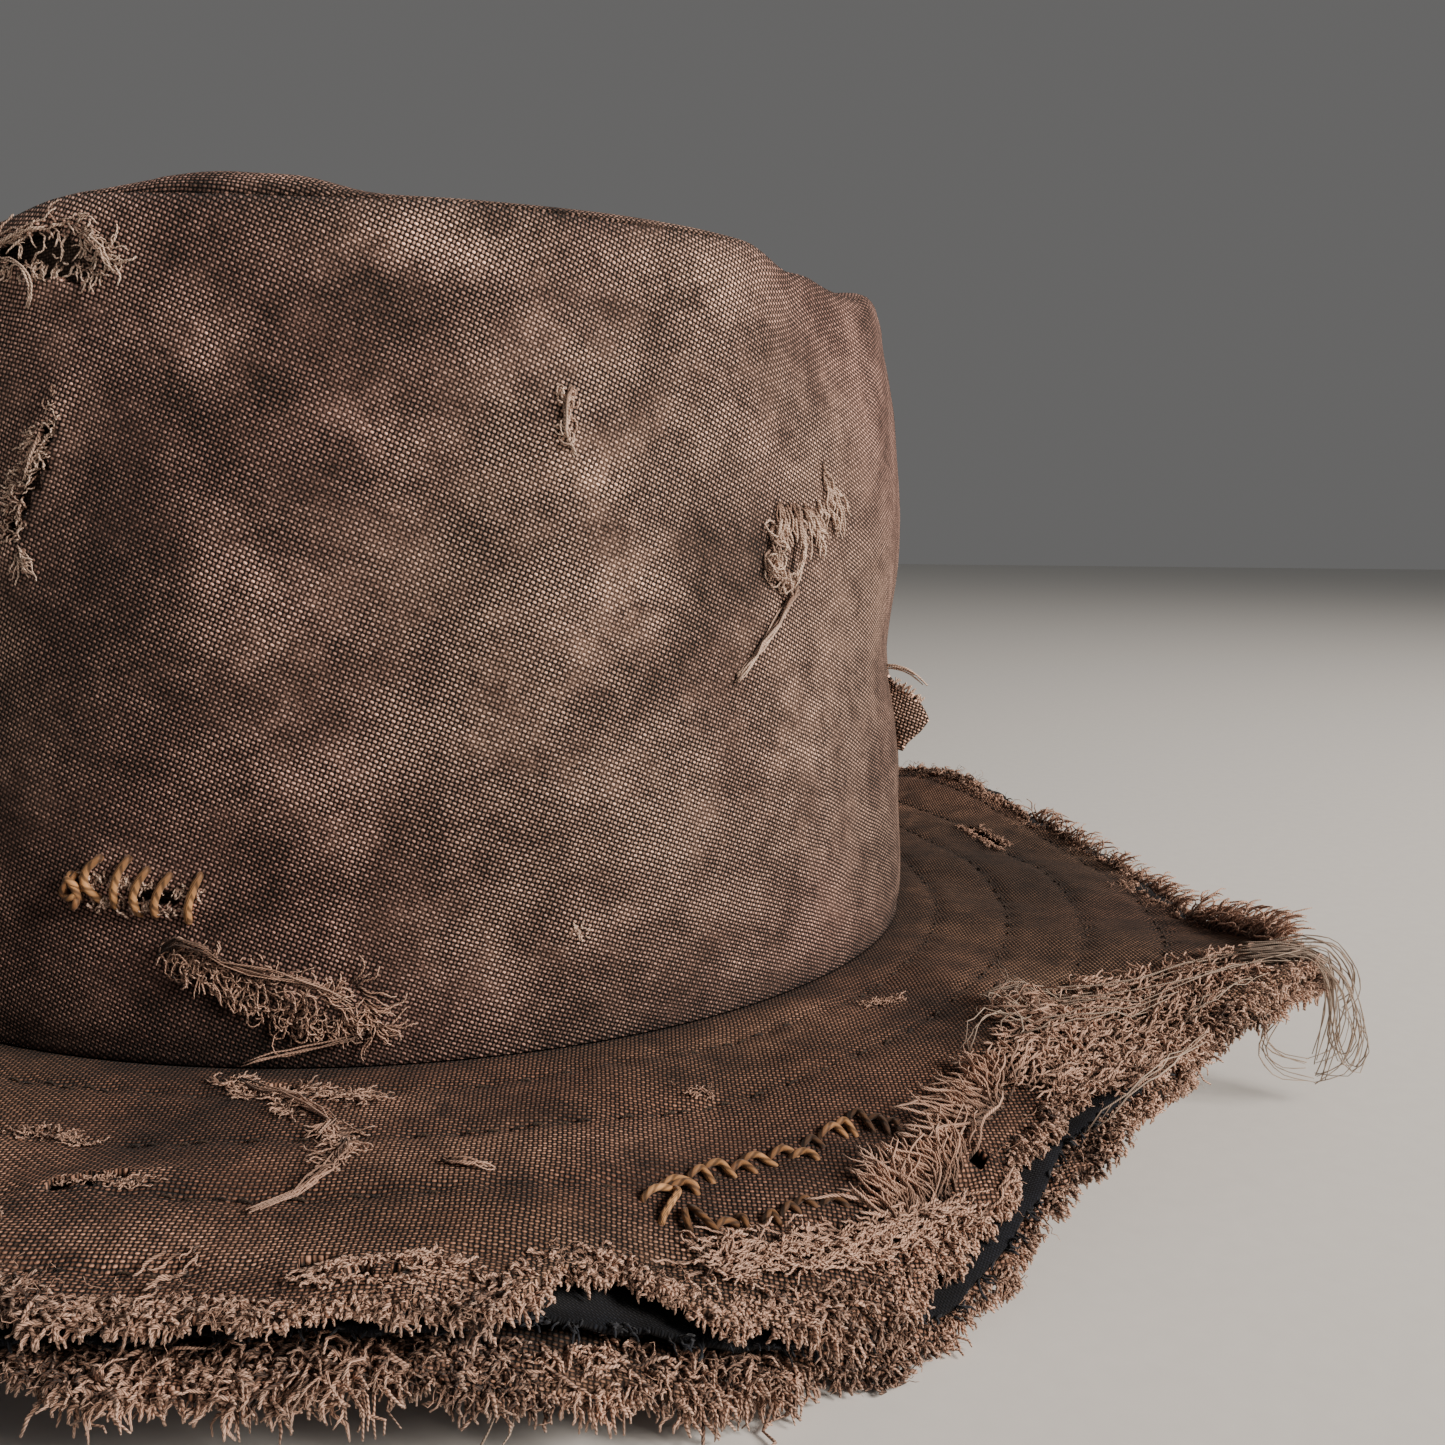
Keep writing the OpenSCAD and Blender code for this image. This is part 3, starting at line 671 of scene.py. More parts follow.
piece, s, t = cloth_grid("sweatband_ribbon", 320, 18)
azimuth = wrap(s * 360 + BACK_SEAM)
angle = np.radians(azimuth)
low, high = band_low.z / MM, band_high.z / MM
outside = band_high.x / MM
fold = np.clip((t - 0.93) / 0.07, 0, 1)
z = low + t * (high - low)
slack = 0.25 * np.sin(9 * angle + z / 9) + 0.18 * np.sin(23 * angle - z / 5)
radius = outside - 0.3 + slack * np.sin(np.pi * t) - 0.2 * fold
set_shape(piece, polar(radius, azimuth, z))
set_weave(piece, s * 2 * np.pi * outside, z)
sweatband = finish_cloth(piece, "sweatband", BAND_T * 0.75, band_twill)

thread_low, thread_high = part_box("sweatband_thread")
height = (thread_low.z + thread_high.z) / 2 / MM
inner = band_high.x / MM - BAND_T + 0.12
girth = 2 * np.pi * inner


def on_band(where, raised):
    angle = where / inner
    radius = inner - raised
    z = np.full_like(angle, height)
    return np.stack([radius * np.cos(angle), radius * np.sin(angle), z], -1)


places = np.arange(0, girth - BAND_STITCH, BAND_STITCH)
stitches("sweatband_stitches", "sweatband_thread", places, 2.6, 0.5, 0.22, on_band, 0.1)


# Brim. Three flat rings laid on each other: canvas on top, a blue-black felted interlining,
# and canvas below, quilted together by four rows of running stitch. The raw edges are torn
# back unevenly, the plies part there, and damp has turned the brim up and down in waves.
UPPER_W = 51.0
LOWER_MORE = 5.0
INTERLINING_T = 0.8
PLY_GAP = 0.3
BRIM_CURL = 2.2
UPPER_TOP = crown_low.z / MM - PLY_GAP
INTERLINING_TOP = UPPER_TOP - CLOTH_T - PLY_GAP
LOWER_TOP = INTERLINING_TOP - INTERLINING_T - PLY_GAP
BRIM_WAVES = [(-71, 22, -11), (-34, 15, 6), (24, 24, 10), (62, 26, -11), (112, 26, 6),
              (178, 34, -11), (-132, 20, 4)]
DROOP_WAVES = [(-88, 34, 4.8), (62, 30, 3.6), (178, 36, 3.6), (-30, 18, 2), (20, 20, 2),
               (112, 24, 2)]
REACH_WAVES = [(-32, 14, 13), (-60, 18, -3), (-132, 24, -4), (130, 30, 3)]
ROWS = [7.5, 20.5, 33.5, 46.5]
ROW_STITCH = 2.7

# The same canvas as the crown, browner with grime and less faded, and a matt felted cotton so
# dark that it reads as shadow between the plies
brim_canvas = woven("soiled_cotton_canvas", YARN_PITCH, 8, "#30221a", "#523b2e", "#715443",
                    "#ac8972", "#0e0906", 0.26)
interlining_felt = woven("blue_black_felted_cotton", 0.31, 40, "#030406", "#06080c", "#0b0e14",
                         "#141821", "#020304", 0.12, 0.4)


def brim_width(azimuth):
    """How far the lowest ply reaches out from the crown, in mm."""
    return UPPER_W + LOWER_MORE + waves(azimuth, REACH_WAVES)


def on_brim(azimuth, off, top=UPPER_TOP, droop=0.0, lift=0.0, quilt=1.0):
    """Points on a ply of the brim, off mm out from the crown, lift mm over it."""
    azimuth, off = np.broadcast_arrays(np.asarray(azimuth, float), np.asarray(off, float))
    angle = np.radians(azimuth)
    share = np.clip(off / brim_width(azimuth), 0, 1.1)
    swing = waves(azimuth, BRIM_WAVES) - droop * waves(azimuth, DROOP_WAVES)
    z = top + swing * share ** BRIM_CURL
    ease = np.clip(off / 12, 0, 1)
    z = z + ease * 0.55 * np.sin(6 * angle + off / 12) * np.sin(off / 15 + 2 * angle)
    z = z + ease * 0.3 * np.sin(19 * angle + off / 9 + 1.0)
    for number, row in enumerate(ROWS):
        near = np.exp(-((off - row) / 1.3) ** 2)
        pucker = 1 + 0.5 * np.sin(azimuth * (1.9 + 0.13 * number) + 3 * number)
        z = z - quilt * 0.42 * near * pucker
    return polar(CROWN_R + off, azimuth, z + lift)


def raggedness(azimuth, seed, size):
    """How far the torn edge of a ply steps in and out, in mm."""
    rng = np.random.default_rng(seed)
    total = np.zeros_like(azimuth)
    for turns, share in ((23, 1.0), (47, 0.8), (89, 0.6), (150, 0.45), (260, 0.3)):
        total += share * np.sin(np.radians(azimuth) * turns + rng.uniform(0, 6.28))
    return size * total / 1.6


# Places where the upper ply is torn back from its edge: (azimuth, half width, depth)
UPPER_BACK = [(-12, 5, -4), (8, 4, -3), (40, 6, -4), (85, 5, -3.5), (133, 6, -4), (-170, 7, -4)]
# The lie of its torn edge round the front, where it is most worn: azimuth, and mm past even
EDGE_AT = [-118, -112, -107.5, -103, -100.5, -97, -94, -88, -86, -84.8, -82.3, -81.2, -80,
           -78.6, -76, -73.4, -70, -65.7, -62.6, -61.2, -59.4, -58, -54.5, -51, -46, -40,
           -34, -28, -20]
EDGE_BY = [0, -1.8, -1.8, 1.4, 2.8, 4, 4.6, 4.4, -0.5, -2.8, -3.6, -1.0, 1.4, 3.8, 5.0, 5.4,
           4.2, 3.4, 2.8, 2.2, -0.5, -0.6, -2.2, 2.6, 4.6, 5.0, 4.8, 2, 0]


def upper_back(azimuth):
    return waves(azimuth, UPPER_BACK) + np.interp(azimuth, EDGE_AT, EDGE_BY)


INTERLINING_BACK = [(-97, 8, -2.5), (-84, 6, -2.5), (-68, 12, 3.4), (-120, 6, -3), (30, 8, -3),
                    (150, 9, -3)]
LOWER_BACK = [(-104, 4, -3), (-66, 14, 1.0), (15, 6, -3), (75, 5, -3), (-150, 6, -4), (160, 6, -3)]


def interlining_back(azimuth):
    return waves(azimuth, INTERLINING_BACK)


def lower_back(azimuth):
    return waves(azimuth, LOWER_BACK)


# Tears of the upper ply: (azimuth, off, half length, half width, turn)
BRIM_TEARS = [(-91, 50, 4.2, 1.5, 4), (-98.5, 7.5, 7.5, 1.2, 14), (-72, 18, 1.0, 0.7, 0),
              (-50, 12, 1.6, 1.2, 30), (-105, 31, 7.0, 1.0, -20), (-110, 41, 6.0, 1.1, 10),
              (-93, 46.5, 9.0, 0.7, 3), (6, 33, 8.0, 1.4, 0), (-62, 46, 2.2, 1.0, 60),
              (100, 30, 7.0, 1.0, 20), (-165, 36, 8.0, 1.2, -10)]
BRIM_FADES = [(-86, 25, 22, 5, 0.6), (-100, 42, 12, 6, 0.7), (-112, 30, 8, 9, 0.6),
              (-60, 8, 16, 5, 0.4), (-74, 44, 18, 5, 0.5), (-92, 12, 12, 4, 0.6),
              (-42, 40, 12, 16, 0.9), (30, 30, 30, 12, 0.6), (120, 30, 40, 14, 0.6),
              (-150, 30, 30, 12, 0.6)]
BRIM_SOILS = [(-66, 38, 14, 4, 0.5), (-50, 22, 20, 9, 0.35), (-104, 20, 12, 5, 0.4),
              (-8, 30, 44, 28, 0.9), (70, 20, 30, 10, 0.5), (-165, 15, 30, 8, 0.5)]


def make_ply(name, node, material, top, droop, inset, backs, tears, size, seed, cells,
             thickness, quilt):
    """One ply of the brim. droop is its share of the sag that parts the plies, and inset is
    how many mm its edge falls short of the lowest ply's."""
    piece, s, t = cloth_grid(name, *cells)
    azimuth = wrap(s * 360 + BACK_SEAM)
    inner = -CLOTH_T
    outer = brim_width(azimuth) - inset + backs(azimuth)
    outer = outer + raggedness(azimuth, seed, size)
    off = outer + (inner - outer) * t
    girth = 2 * np.pi * (CROWN_R + 30)
    placed = [((wrap(a - BACK_SEAM) % 360) / 360 * girth, o, *rest) for a, o, *rest in tears]
    u, v, inside, near = tear_open(s * girth, off, placed, 1.2)
    azimuth, off = wrap(u / girth * 360 + BACK_SEAM), v
    points = on_brim(azimuth, off, top, droop, 0.6 * near, quilt)
    edge = np.exp(-(np.clip(outer - off, 0, None) / 3.0))
    rough = rumple(points, 16, 3) * 0.5 + rumple(points, 6, 4) * 0.2
    points[:, 2] += rough * np.clip(off / 10, 0, 1) + edge * rumple(points, 5, seed) * 1.1
    points[:, 2] = np.maximum(points[:, 2], FLOOR_Z + thickness + 0.2)
    set_shape(piece, points)
    radius = CROWN_R + off
    flat = np.radians(azimuth)
    set_weave(piece, radius * np.cos(flat), radius * np.sin(flat))
    wear = spots(azimuth, off, BRIM_FADES, girth) + 0.75 * np.exp(-(outer - off) / 3.5)
    set_attribute(piece, "fade", wear + 0.5 * near ** 2)
    dirt_and_shade = spots(azimuth, off, BRIM_SOILS, girth) + 0.55 * np.exp(-(off / 2.2) ** 2)
    # Painted shade: the lower ply is darkened in a band about 7.5 mm in from its torn edge, in the gap
    # under the upper ply
    if node == "brim_lower":
        dirt_and_shade += 0.95 * np.exp(-((outer - off - 7.5) / 3.5) ** 2)
    for row in ROWS:
        dirt_and_shade += 0.3 * np.exp(-((off - row) / 0.8) ** 2)
    set_attribute(piece, "soil_and_shade", dirt_and_shade)
    return finish_cloth(piece, node, thickness, material, inside)


FLOOR_Z = cad_box[0][2] / MM
brim_upper = make_ply("brim_upper_cloth", "brim_upper", brim_canvas, UPPER_TOP, 0.0,
                      LOWER_MORE, upper_back, BRIM_TEARS, 0.9, 21, (620, 50), CLOTH_T, 1.0)
interlining = make_ply("interlining_felt", "brim_interlining", interlining_felt,
                       INTERLINING_TOP, 0.5, 2.5, interlining_back, [], 0.6, 22,
                       (420, 30), INTERLINING_T, 0.6)
brim_lower = make_ply("brim_lower_cloth", "brim_lower", brim_canvas, LOWER_TOP, 1.0,
                      0.0, lower_back, [], 0.9, 23, (620, 46), CLOTH_T, 0.3)


for number, row in enumerate(ROWS):
    radius = CROWN_R + row
    girth = 2 * np.pi * radius
    rng = np.random.default_rng(50 + number)
    places = np.arange(0, girth - ROW_STITCH, ROW_STITCH)
    places = places + rng.uniform(-0.25, 0.25, len(places))
    azimuth = wrap(np.degrees(places / radius))
    kept = row < brim_width(azimuth) - LOWER_MORE + upper_back(azimuth) - 1.5
    for tear_at, off, half_length, half_width, _ in BRIM_TEARS:
        away = np.abs(wrap(azimuth - tear_at)) / 360 * girth
        kept &= ~((away < half_length) & (abs(off - row) < half_width + 1.5))

    def on_row(where, raised):
        return on_brim(np.degrees(where / radius), row, lift=raised)

    stitches(f"brim_stitches_{number + 1}", f"brim_row_{number + 1}", places[kept], 1.6, 0.35,
             0.13, on_row, -0.02)


# Ravelled edges. Where the brim's plies were torn, the cross yarns have fallen out and the
# rest stand free as short, kinked ends, 1 to 10 mm long, bunched and curled, painted darker
# where they leave the cloth as painted shade, and pinkish tan at their tips, partly faded and
# partly a painted highlight.
ravelled_yarn = spun("ravelled_cotton_yarn", 0.9, "#20140d", "#482f22", "#d2a78e", "#e6c2ab")
navy_fibre = spun("navy_felt_fibre", 2.0, "#07090c", "#0c0e13", "#20242d", "#171a21")


def wander(rng, roots, heading, upward, lengths, steps, bend, wiggle, rise, sag):
    """Paths of loose yarns. Each starts at its root along heading, turns by up to bend
    radians over its length, kinks by wiggle, rises by rise radians and sags by sag."""
    count = len(roots)
    side = np.cross(upward, heading)
    side /= np.maximum(np.linalg.norm(side, axis=1, keepdims=True), 1e-9)
    t = np.linspace(0, 1, steps)[None]
    turning = rng.normal(0, 1, (count, 1)) * bend * t
    phase = rng.uniform(0, 6.28, (count, 2))
    kinks = wiggle * np.sin(phase[:, :1] + t * rng.uniform(4, 11, (count, 1)))
    lean = rise * rng.uniform(0.2, 1.3, (count, 1)) - sag * t * rng.uniform(0.6, 1.4, (count, 1))
    lean = lean + wiggle * 0.7 * np.sin(phase[:, 1:] + t * rng.uniform(3, 9, (count, 1)))
    yaw = turning + kinks
    move = (np.cos(lean)[..., None] * (np.cos(yaw)[..., None] * heading[:, None]
                                       + np.sin(yaw)[..., None] * side[:, None])
            + np.sin(lean)[..., None] * upward[:, None])
    step = (lengths / (steps - 1))[:, None, None]
    return roots[:, None] + np.cumsum(np.concatenate([np.zeros((count, 1, 3)),
                                                      move[:, 1:] * step], 1), 1)


def keep_in_box(paths):
    """Yarns that reach the table lie on it, and none leaves the hat's own box by much."""
    low = np.array(cad_box[0]) / MM
    high = np.array(cad_box[1]) / MM
    paths[..., 2] = np.maximum(paths[..., 2], low[2] + 0.3)
    paths[..., :2] = np.clip(paths[..., :2], low[:2] - 9, high[:2] + 9)
    return paths


def taper(count, steps, radius, rng):
    """Radius along each yarn: even, then a blunt frayed end."""
    t = np.linspace(0, 1, steps)[None]
    shape = np.clip(1.15 - 0.5 * t ** 3, 0, 1) * rng.uniform(0.75, 1.25, (count, steps))
    return shape * radius * rng.uniform(0.75, 1.2, (count, 1))


def clumped(rng, azimuth, seed, low, high):
    """Yarn lengths that rise and fall in bunches round the edge."""
    bunch = 0.5 + 0.5 * raggedness(azimuth, seed, 0.8)
    share = np.clip(0.55 * bunch + 0.45 * rng.uniform(0, 1, len(azimuth)), 0, 1)
    return low + (high - low) * share ** 1.6


# Stretches with longer, thicker fringe: (azimuth, half width, how much more)
UPPER_LONG = [(-74, 9, 1.0), (-66, 6, 0.6), (-50, 14, 0.8), (-86, 8, 0.9), (-100, 12, 0.7),
              (-38, 10, 1.0), (20, 14, 0.6), (110, 20, 0.6), (-160, 20, 0.6)]
LOWER_LONG = [(-81, 9, 1.4), (-103, 20, 1.6), (-90, 9, 1.2), (-71, 8, 0.9), (-56, 9, 1.3),
              (-36, 8, 1.0), (70, 14, 0.6), (170, 20, 0.6)]
# The front, where a third more yarns stand, and the stretch of it that is worn short
FRONT = (-122, -30)
WORN_SHORT = (-67, -47)


def make_fringe(name, node, top, droop, inset, backs, seed, count, longer, low, high):
    """A pile of yarn ends along a torn edge, rooted over a band that reaches in from it."""
    rng = np.random.default_rng(seed)
    azimuth = np.where(rng.uniform(0, 1, count) < 0.36, rng.uniform(*FRONT, count),
                       rng.uniform(-180, 180, count))
    extra = rng.uniform(0, 1, count) < 0.25
    bunch = rng.integers(0, 150, count)
    places = rng.uniform(-180, 180, 150)
    azimuth = np.where(extra, wrap(places[bunch] + rng.normal(0, 0.8, count)), azimuth)
    edge = brim_width(azimuth) - inset + backs(azimuth) + raggedness(azimuth, seed % 100, 0.9)
    more = waves(azimuth, longer)
    back = rng.uniform(0, 1, count) ** 1.3 * (1.6 + 3.6 * more)
    off = edge + 0.4 - back
    roots = on_brim(azimuth, off, top, droop, -0.1)
    roots[:, 2] -= np.where(back > 0.5, 0.1, 0.5)
    further = on_brim(azimuth, off + 2, top, droop)
    heading = further - roots
    heading /= np.linalg.norm(heading, axis=1, keepdims=True)
    upward = np.tile([0.0, 0.0, 1.0], (count, 1))
    side = np.cross(upward, heading)
    heading = heading + side * rng.normal(0, 0.75, (count, 1))
    heading /= np.linalg.norm(heading, axis=1, keepdims=True)
    lengths = clumped(rng, azimuth, seed % 100 + 7, low, high) * (0.8 + more * 0.45)
    short = (azimuth > WORN_SHORT[0]) & (azimuth < WORN_SHORT[1]) & (inset < 1)
    lengths = np.where(short, np.minimum(lengths, 1.9), lengths)
    hanging = rng.uniform(0, 1, count) < 0.025 * (inset < 1)
    lengths = np.where(hanging & ~short, lengths * 1.9, lengths)
    rise = np.where(back[:, None] > 0.5, 0.85, 0.25)
    paths = wander(rng, roots, heading, upward, lengths, 5, 1.2, 0.7, rise, 1.4)
    tones = (0.6 if inset else 0.32) + 0.4 * raggedness(azimuth, seed % 100 + 3, 1)
    tones = tones + rng.normal(0, 0.3, count)
    tubes(name, node, keep_in_box(paths), taper(count, 5, 0.2, rng), np.clip(tones, 0, 1), 3,
          ravelled_yarn)


def make_fluff(name, top, droop, inset, backs, seed):
    """Single fibres that stand off the fringe and soften its outline."""
    rng = np.random.default_rng(seed)
    count = 2600
    azimuth = rng.uniform(-180, 180, count)
    edge = brim_width(azimuth) - inset + backs(azimuth) + raggedness(azimuth, seed % 10 + 20, 0.9)
    roots = on_brim(azimuth, edge + rng.uniform(-4, 1.5, count), top, droop, 0.2)
    heading = rng.normal(0, 1, (count, 3))
    angle = np.radians(azimuth)
    heading += polar(1, azimuth, 0.4 + 0 * angle) * 1.2
    heading /= np.linalg.norm(heading, axis=1, keepdims=True)
    upward = np.cross(heading, np.stack([-np.sin(angle), np.cos(angle), 0 * angle], -1))
    upward /= np.maximum(np.linalg.norm(upward, axis=1, keepdims=True), 1e-6)
    paths = wander(rng, roots, heading, upward, rng.uniform(1.2, 4.0, count), 5, 1.6, 0.9, 0.2, 0.5)
    tubes(name, None, keep_in_box(paths), taper(count, 5, 0.05, rng), rng.uniform(0.3, 1, count),
          3, ravelled_yarn)


for batch in (1, 2):
    seed = 100 * (batch - 1)
    make_fringe(f"upper_fringe_yarns_{batch}", "upper_fringe", UPPER_TOP, 0.0, LOWER_MORE,
                upper_back, 21 + seed, 6400, UPPER_LONG, 0.8, 3.4)
    make_fringe(f"lower_fringe_yarns_{batch}", "lower_fringe", LOWER_TOP, 1.0, 0.0,
                lower_back, 23 + seed, 6400, LOWER_LONG, 0.9, 4.2)

# Short fibres along the felt's own cut edge
rng = np.random.default_rng(31)
count = 1500
azimuth = rng.uniform(-180, 180, count)
edge = brim_width(azimuth) - 2.5 + interlining_back(azimuth) + raggedness(azimuth, 22, 0.6)
roots = on_brim(azimuth, edge - 0.3, INTERLINING_TOP, 0.5, -0.3)
heading = polar(1, azimuth, rng.normal(0, 0.3, count))
upward = np.tile([0.0, 0.0, 1.0], (count, 1))
paths = wander(rng, roots, heading, upward, rng.uniform(0.8, 2.6, count), 5, 1.2, 0.5, 0.3, 0.6)
tubes("interlining_fuzz", None, keep_in_box(paths), taper(count, 5, 0.16, rng),
      rng.uniform(0, 1, count), 4, navy_fibre)

make_fluff("upper_fringe_fluff", UPPER_TOP, 0.0, LOWER_MORE, upper_back, 41)
make_fluff("lower_fringe_fluff", LOWER_TOP, 1.0, 0.0, lower_back, 43)


# Tears, snags and holes. Where the canvas gave way its yarns hang loose: short ends along
# each lip, knots of snarled yarn, and a few long pulled strands lying over the cloth.

# Yarns pulled from inside the cloth never faded as much as its face: pinkish tan throughout
pulled_yarn = spun("pulled_cotton_yarn", 0.9, "#80604e", "#a88370", "#e9cbb5", "#e2c4ae")

# How far one degree round the crown's foot is, in mm
MM_PER_DEGREE = 1.64


def over_crown(azimuth, z, lift):
    return on_crown(azimuth, z, lift + 0.15)


def over_brim(azimuth, off, lift):
    return on_brim(azimuth, off, lift=lift + 0.15)


def strewn(rng, surface, line, towards, spread, count, low, high, bend, rise, steps=9):
    """Loose yarns rooted along a line on the cloth, low to high mm long, in a direction given
    in degrees from sideways. They turn by bend radians and stand up by rise mm."""
    line = np.array(line, float)
    where = rng.uniform(0, len(line) - 1, count)
    azimuth = np.interp(where, np.arange(len(line)), line[:, 0]) + rng.normal(0, 0.25, count)
    height = np.interp(where, np.arange(len(line)), line[:, 1]) + rng.normal(0, 0.35, count)
    length = rng.uniform(low, high, count)
    t = np.linspace(0, 1, steps)[None]
    heading = np.radians(towards + rng.normal(0, 1, (count, 1)) * spread)
    kinks = 0.45 * np.sin(rng.uniform(0, 6.28, (count, 1)) + t * rng.uniform(4, 12, (count, 1)))
    heading = heading + rng.normal(0, 1, (count, 1)) * bend * t + kinks
    step = (length / (steps - 1))[:, None]
    x = np.cumsum(np.cos(heading) * step, 1) - np.cos(heading[:, :1]) * step
    y = np.cumsum(np.sin(heading) * step, 1) - np.sin(heading[:, :1]) * step
    lift = rise * rng.uniform(0.1, 1, (count, 1)) * t * (1.6 - 0.9 * t)
    lift = lift + 0.25 * np.abs(np.sin(t * 6 + rng.uniform(0, 6, (count, 1))))
    return surface(azimuth[:, None] + x / MM_PER_DEGREE, height[:, None] + y, lift)


def smooth_path(points, steps):
    """A smooth path through given points, with an even number of steps."""
    points = np.asarray(points, float)
    gap = np.linalg.norm(np.diff(points, axis=0), axis=1)
    reach = np.concatenate([[0], np.cumsum(gap)])
    fine = np.linspace(0, reach[-1], 10 * len(points))
    dense = np.stack([np.interp(fine, reach, points[:, axis]) for axis in range(3)], -1)
    for _ in range(14):
        dense[1:-1] = (dense[:-2] + 2 * dense[1:-1] + dense[2:]) / 4
    pick = np.linspace(0, len(dense) - 1, steps)
    return np.stack([np.interp(pick, np.arange(len(dense)), dense[:, i]) for i in range(3)], -1)


def strands(rng, surface, points, fibres, spread, steps=9):
    """A bundle of loose fibres that follow one another over the cloth. Each point is
    (azimuth, height, lift)."""
    path = smooth_path(np.array(points) * [MM_PER_DEGREE, 1, 1], steps)
    stray = rng.normal(0, spread, (fibres, 1, 3)) + rng.normal(0, spread * 0.6, (fibres, steps, 3))
    paths = path[None] + stray
    return surface(paths[..., 0] / MM_PER_DEGREE, paths[..., 1], np.abs(paths[..., 2]))


def coils(rng, surface, azimuth, height, spread, count, low, high, rise, steps=9):
    """Snarled loops of yarn: open rings about a place on the cloth."""
    centre = rng.normal(0, spread, (count, 2))
    radius = rng.uniform(low, high, (count, 1))
    start = rng.uniform(0, 6.28, (count, 1))
    turn = start + np.linspace(0, 1, steps)[None] * rng.uniform(4.0, 7.5, (count, 1))
    squash = rng.uniform(0.6, 1.0, (count, 1))
    x = centre[:, :1] + radius * np.cos(turn) * squash
    y = centre[:, 1:] + radius * np.sin(turn)
    wave = 0.4 + 0.6 * np.sin(turn + rng.uniform(0, 6, (count, 1)))
    lift = rise * wave * rng.uniform(0.4, 1, (count, 1))
    return surface(azimuth + x / MM_PER_DEGREE, height + y, np.abs(lift))


def loose_yarns(name, node, surface, bundles, radius, seed, material=pulled_yarn):
    """One piece from several bundles of yarns, each a kind of bundle and what it is made by.
    A bundle may name another surface before its kind."""
    paths = []
    for bundle in bundles:
        ground = surface
        if bundle[0] in (over_crown, over_brim):
            ground, *bundle = bundle
        paths.append(bundle[0](rng, ground, *bundle[1:]))
    paths = np.concatenate(paths)
    count = len(paths)
    own_rng = np.random.default_rng(seed)
    tubes(name, node, keep_in_box(paths), taper(count, paths.shape[1], radius, own_rng),
          own_rng.uniform(0.1, 1, count), 5, material)


rng = np.random.default_rng(61)
loose_yarns("top_tear_yarns_frayed", "top_tear_yarns", over_crown, [
    (strewn, [(-123, 104.6), (-119, 105), (-115, 104.2), (-112.6, 100.5)], -60, 50, 60, 1.5, 4.5,
     0.8, 1.2),
    (strewn, [(-123, 102), (-118, 100.2), (-113.4, 99)], -90, 40, 46, 1.2, 3.2, 0.8, 1.0),
    (strands, [(-115, 104, 0.4), (-113.4, 102, 1.2), (-112.4, 99, 0.4)], 8, 0.35),
    (strands, [(-123, 103, 0.6), (-120.5, 101.5, 0.8), (-119.4, 99.4, 1.0), (-119.3, 97, 0.5),
     (-119.9, 95.4, 0.3)], 4, 0.2),
    (strands, [(-124, 104.5, 0.5), (-121, 104.9, 0.8), (-118, 104.8, 0.6)], 7, 0.3),
    (coils, -113.3, 100.5, 0.9, 9, 0.6, 1.2, 0.9)],
    0.12, 62)
loose_yarns("side_slit_yarns_frayed", "side_slit_yarns", over_crown, [
    (strewn, [(-118.4, 82), (-120.2, 77.5), (-122, 72), (-123, 66)], 200, 45, 60, 0.9, 2.6, 0.7,
     0.8),
    (strewn, [(-117.4, 81), (-119, 76.5), (-120.8, 71), (-121.4, 66)], 160, 70, 70, 0.9, 2.6, 0.7,
     0.9),
    (strands, [(-118.7, 79.5, 0.4), (-119.6, 76.5, 0.8), (-120.3, 74, 0.4)], 4, 0.2),
    (strewn, [(-121.8, 65.5), (-120.8, 65)], -80, 25, 14, 2.5, 5.0, 0.6, 0.8),
    (coils, -117.6, 83.2, 0.8, 10, 0.5, 1.1, 0.8)],
    0.12, 63)
loose_yarns("snag_yarns_snarled", "snag_yarns", over_crown, [
    (coils, -77.6, 85.2, 0.6, 10, 0.4, 1.0, 1.2),
    (coils, -77.8, 81.2, 0.6, 12, 0.5, 1.1, 1.4),
    (strands, [(-77.2, 86.6, 0.5), (-77.9, 83.8, 1.0), (-77.8, 81, 0.8), (-76.9, 78.2, 0.2)], 9,
     0.25)],
    0.16, 64)
loose_yarns("pulled_yarns_snarled", "pulled_yarns", over_crown, [
    (coils, -56.2, 68.3, 0.8, 14, 0.9, 1.7, 2.0),
    (coils, -57.0, 64.2, 0.7, 14, 0.8, 1.6, 2.2),
    (coils, -55.2, 61.6, 0.7, 10, 0.7, 1.4, 1.8),
    (strewn, [(-56.6, 72.8), (-52, 72.8), (-49.5, 71.6)], -80, 14, 34, 3, 8, 0.3, 1.4),
    (strewn, [(-48.6, 78.5), (-46.8, 75)], -65, 14, 22, 4, 8, 0.25, 1.2),
    (strewn, [(-50, 74), (-46, 71)], -70, 30, 20, 1.5, 3.5, 0.4, 1.2),
    (strands, [(-54.2, 60.5, 0.9), (-56.4, 56.6, 0.7), (-59.2, 51.8, 0.4), (-61.6, 48.4, 0.1)],
     12, 0.3),
    (strands, [(-53.4, 72.5, 0.6), (-53.0, 66, 1.6), (-54.4, 60.8, 0.8)], 6, 0.3)],
    0.17, 65)
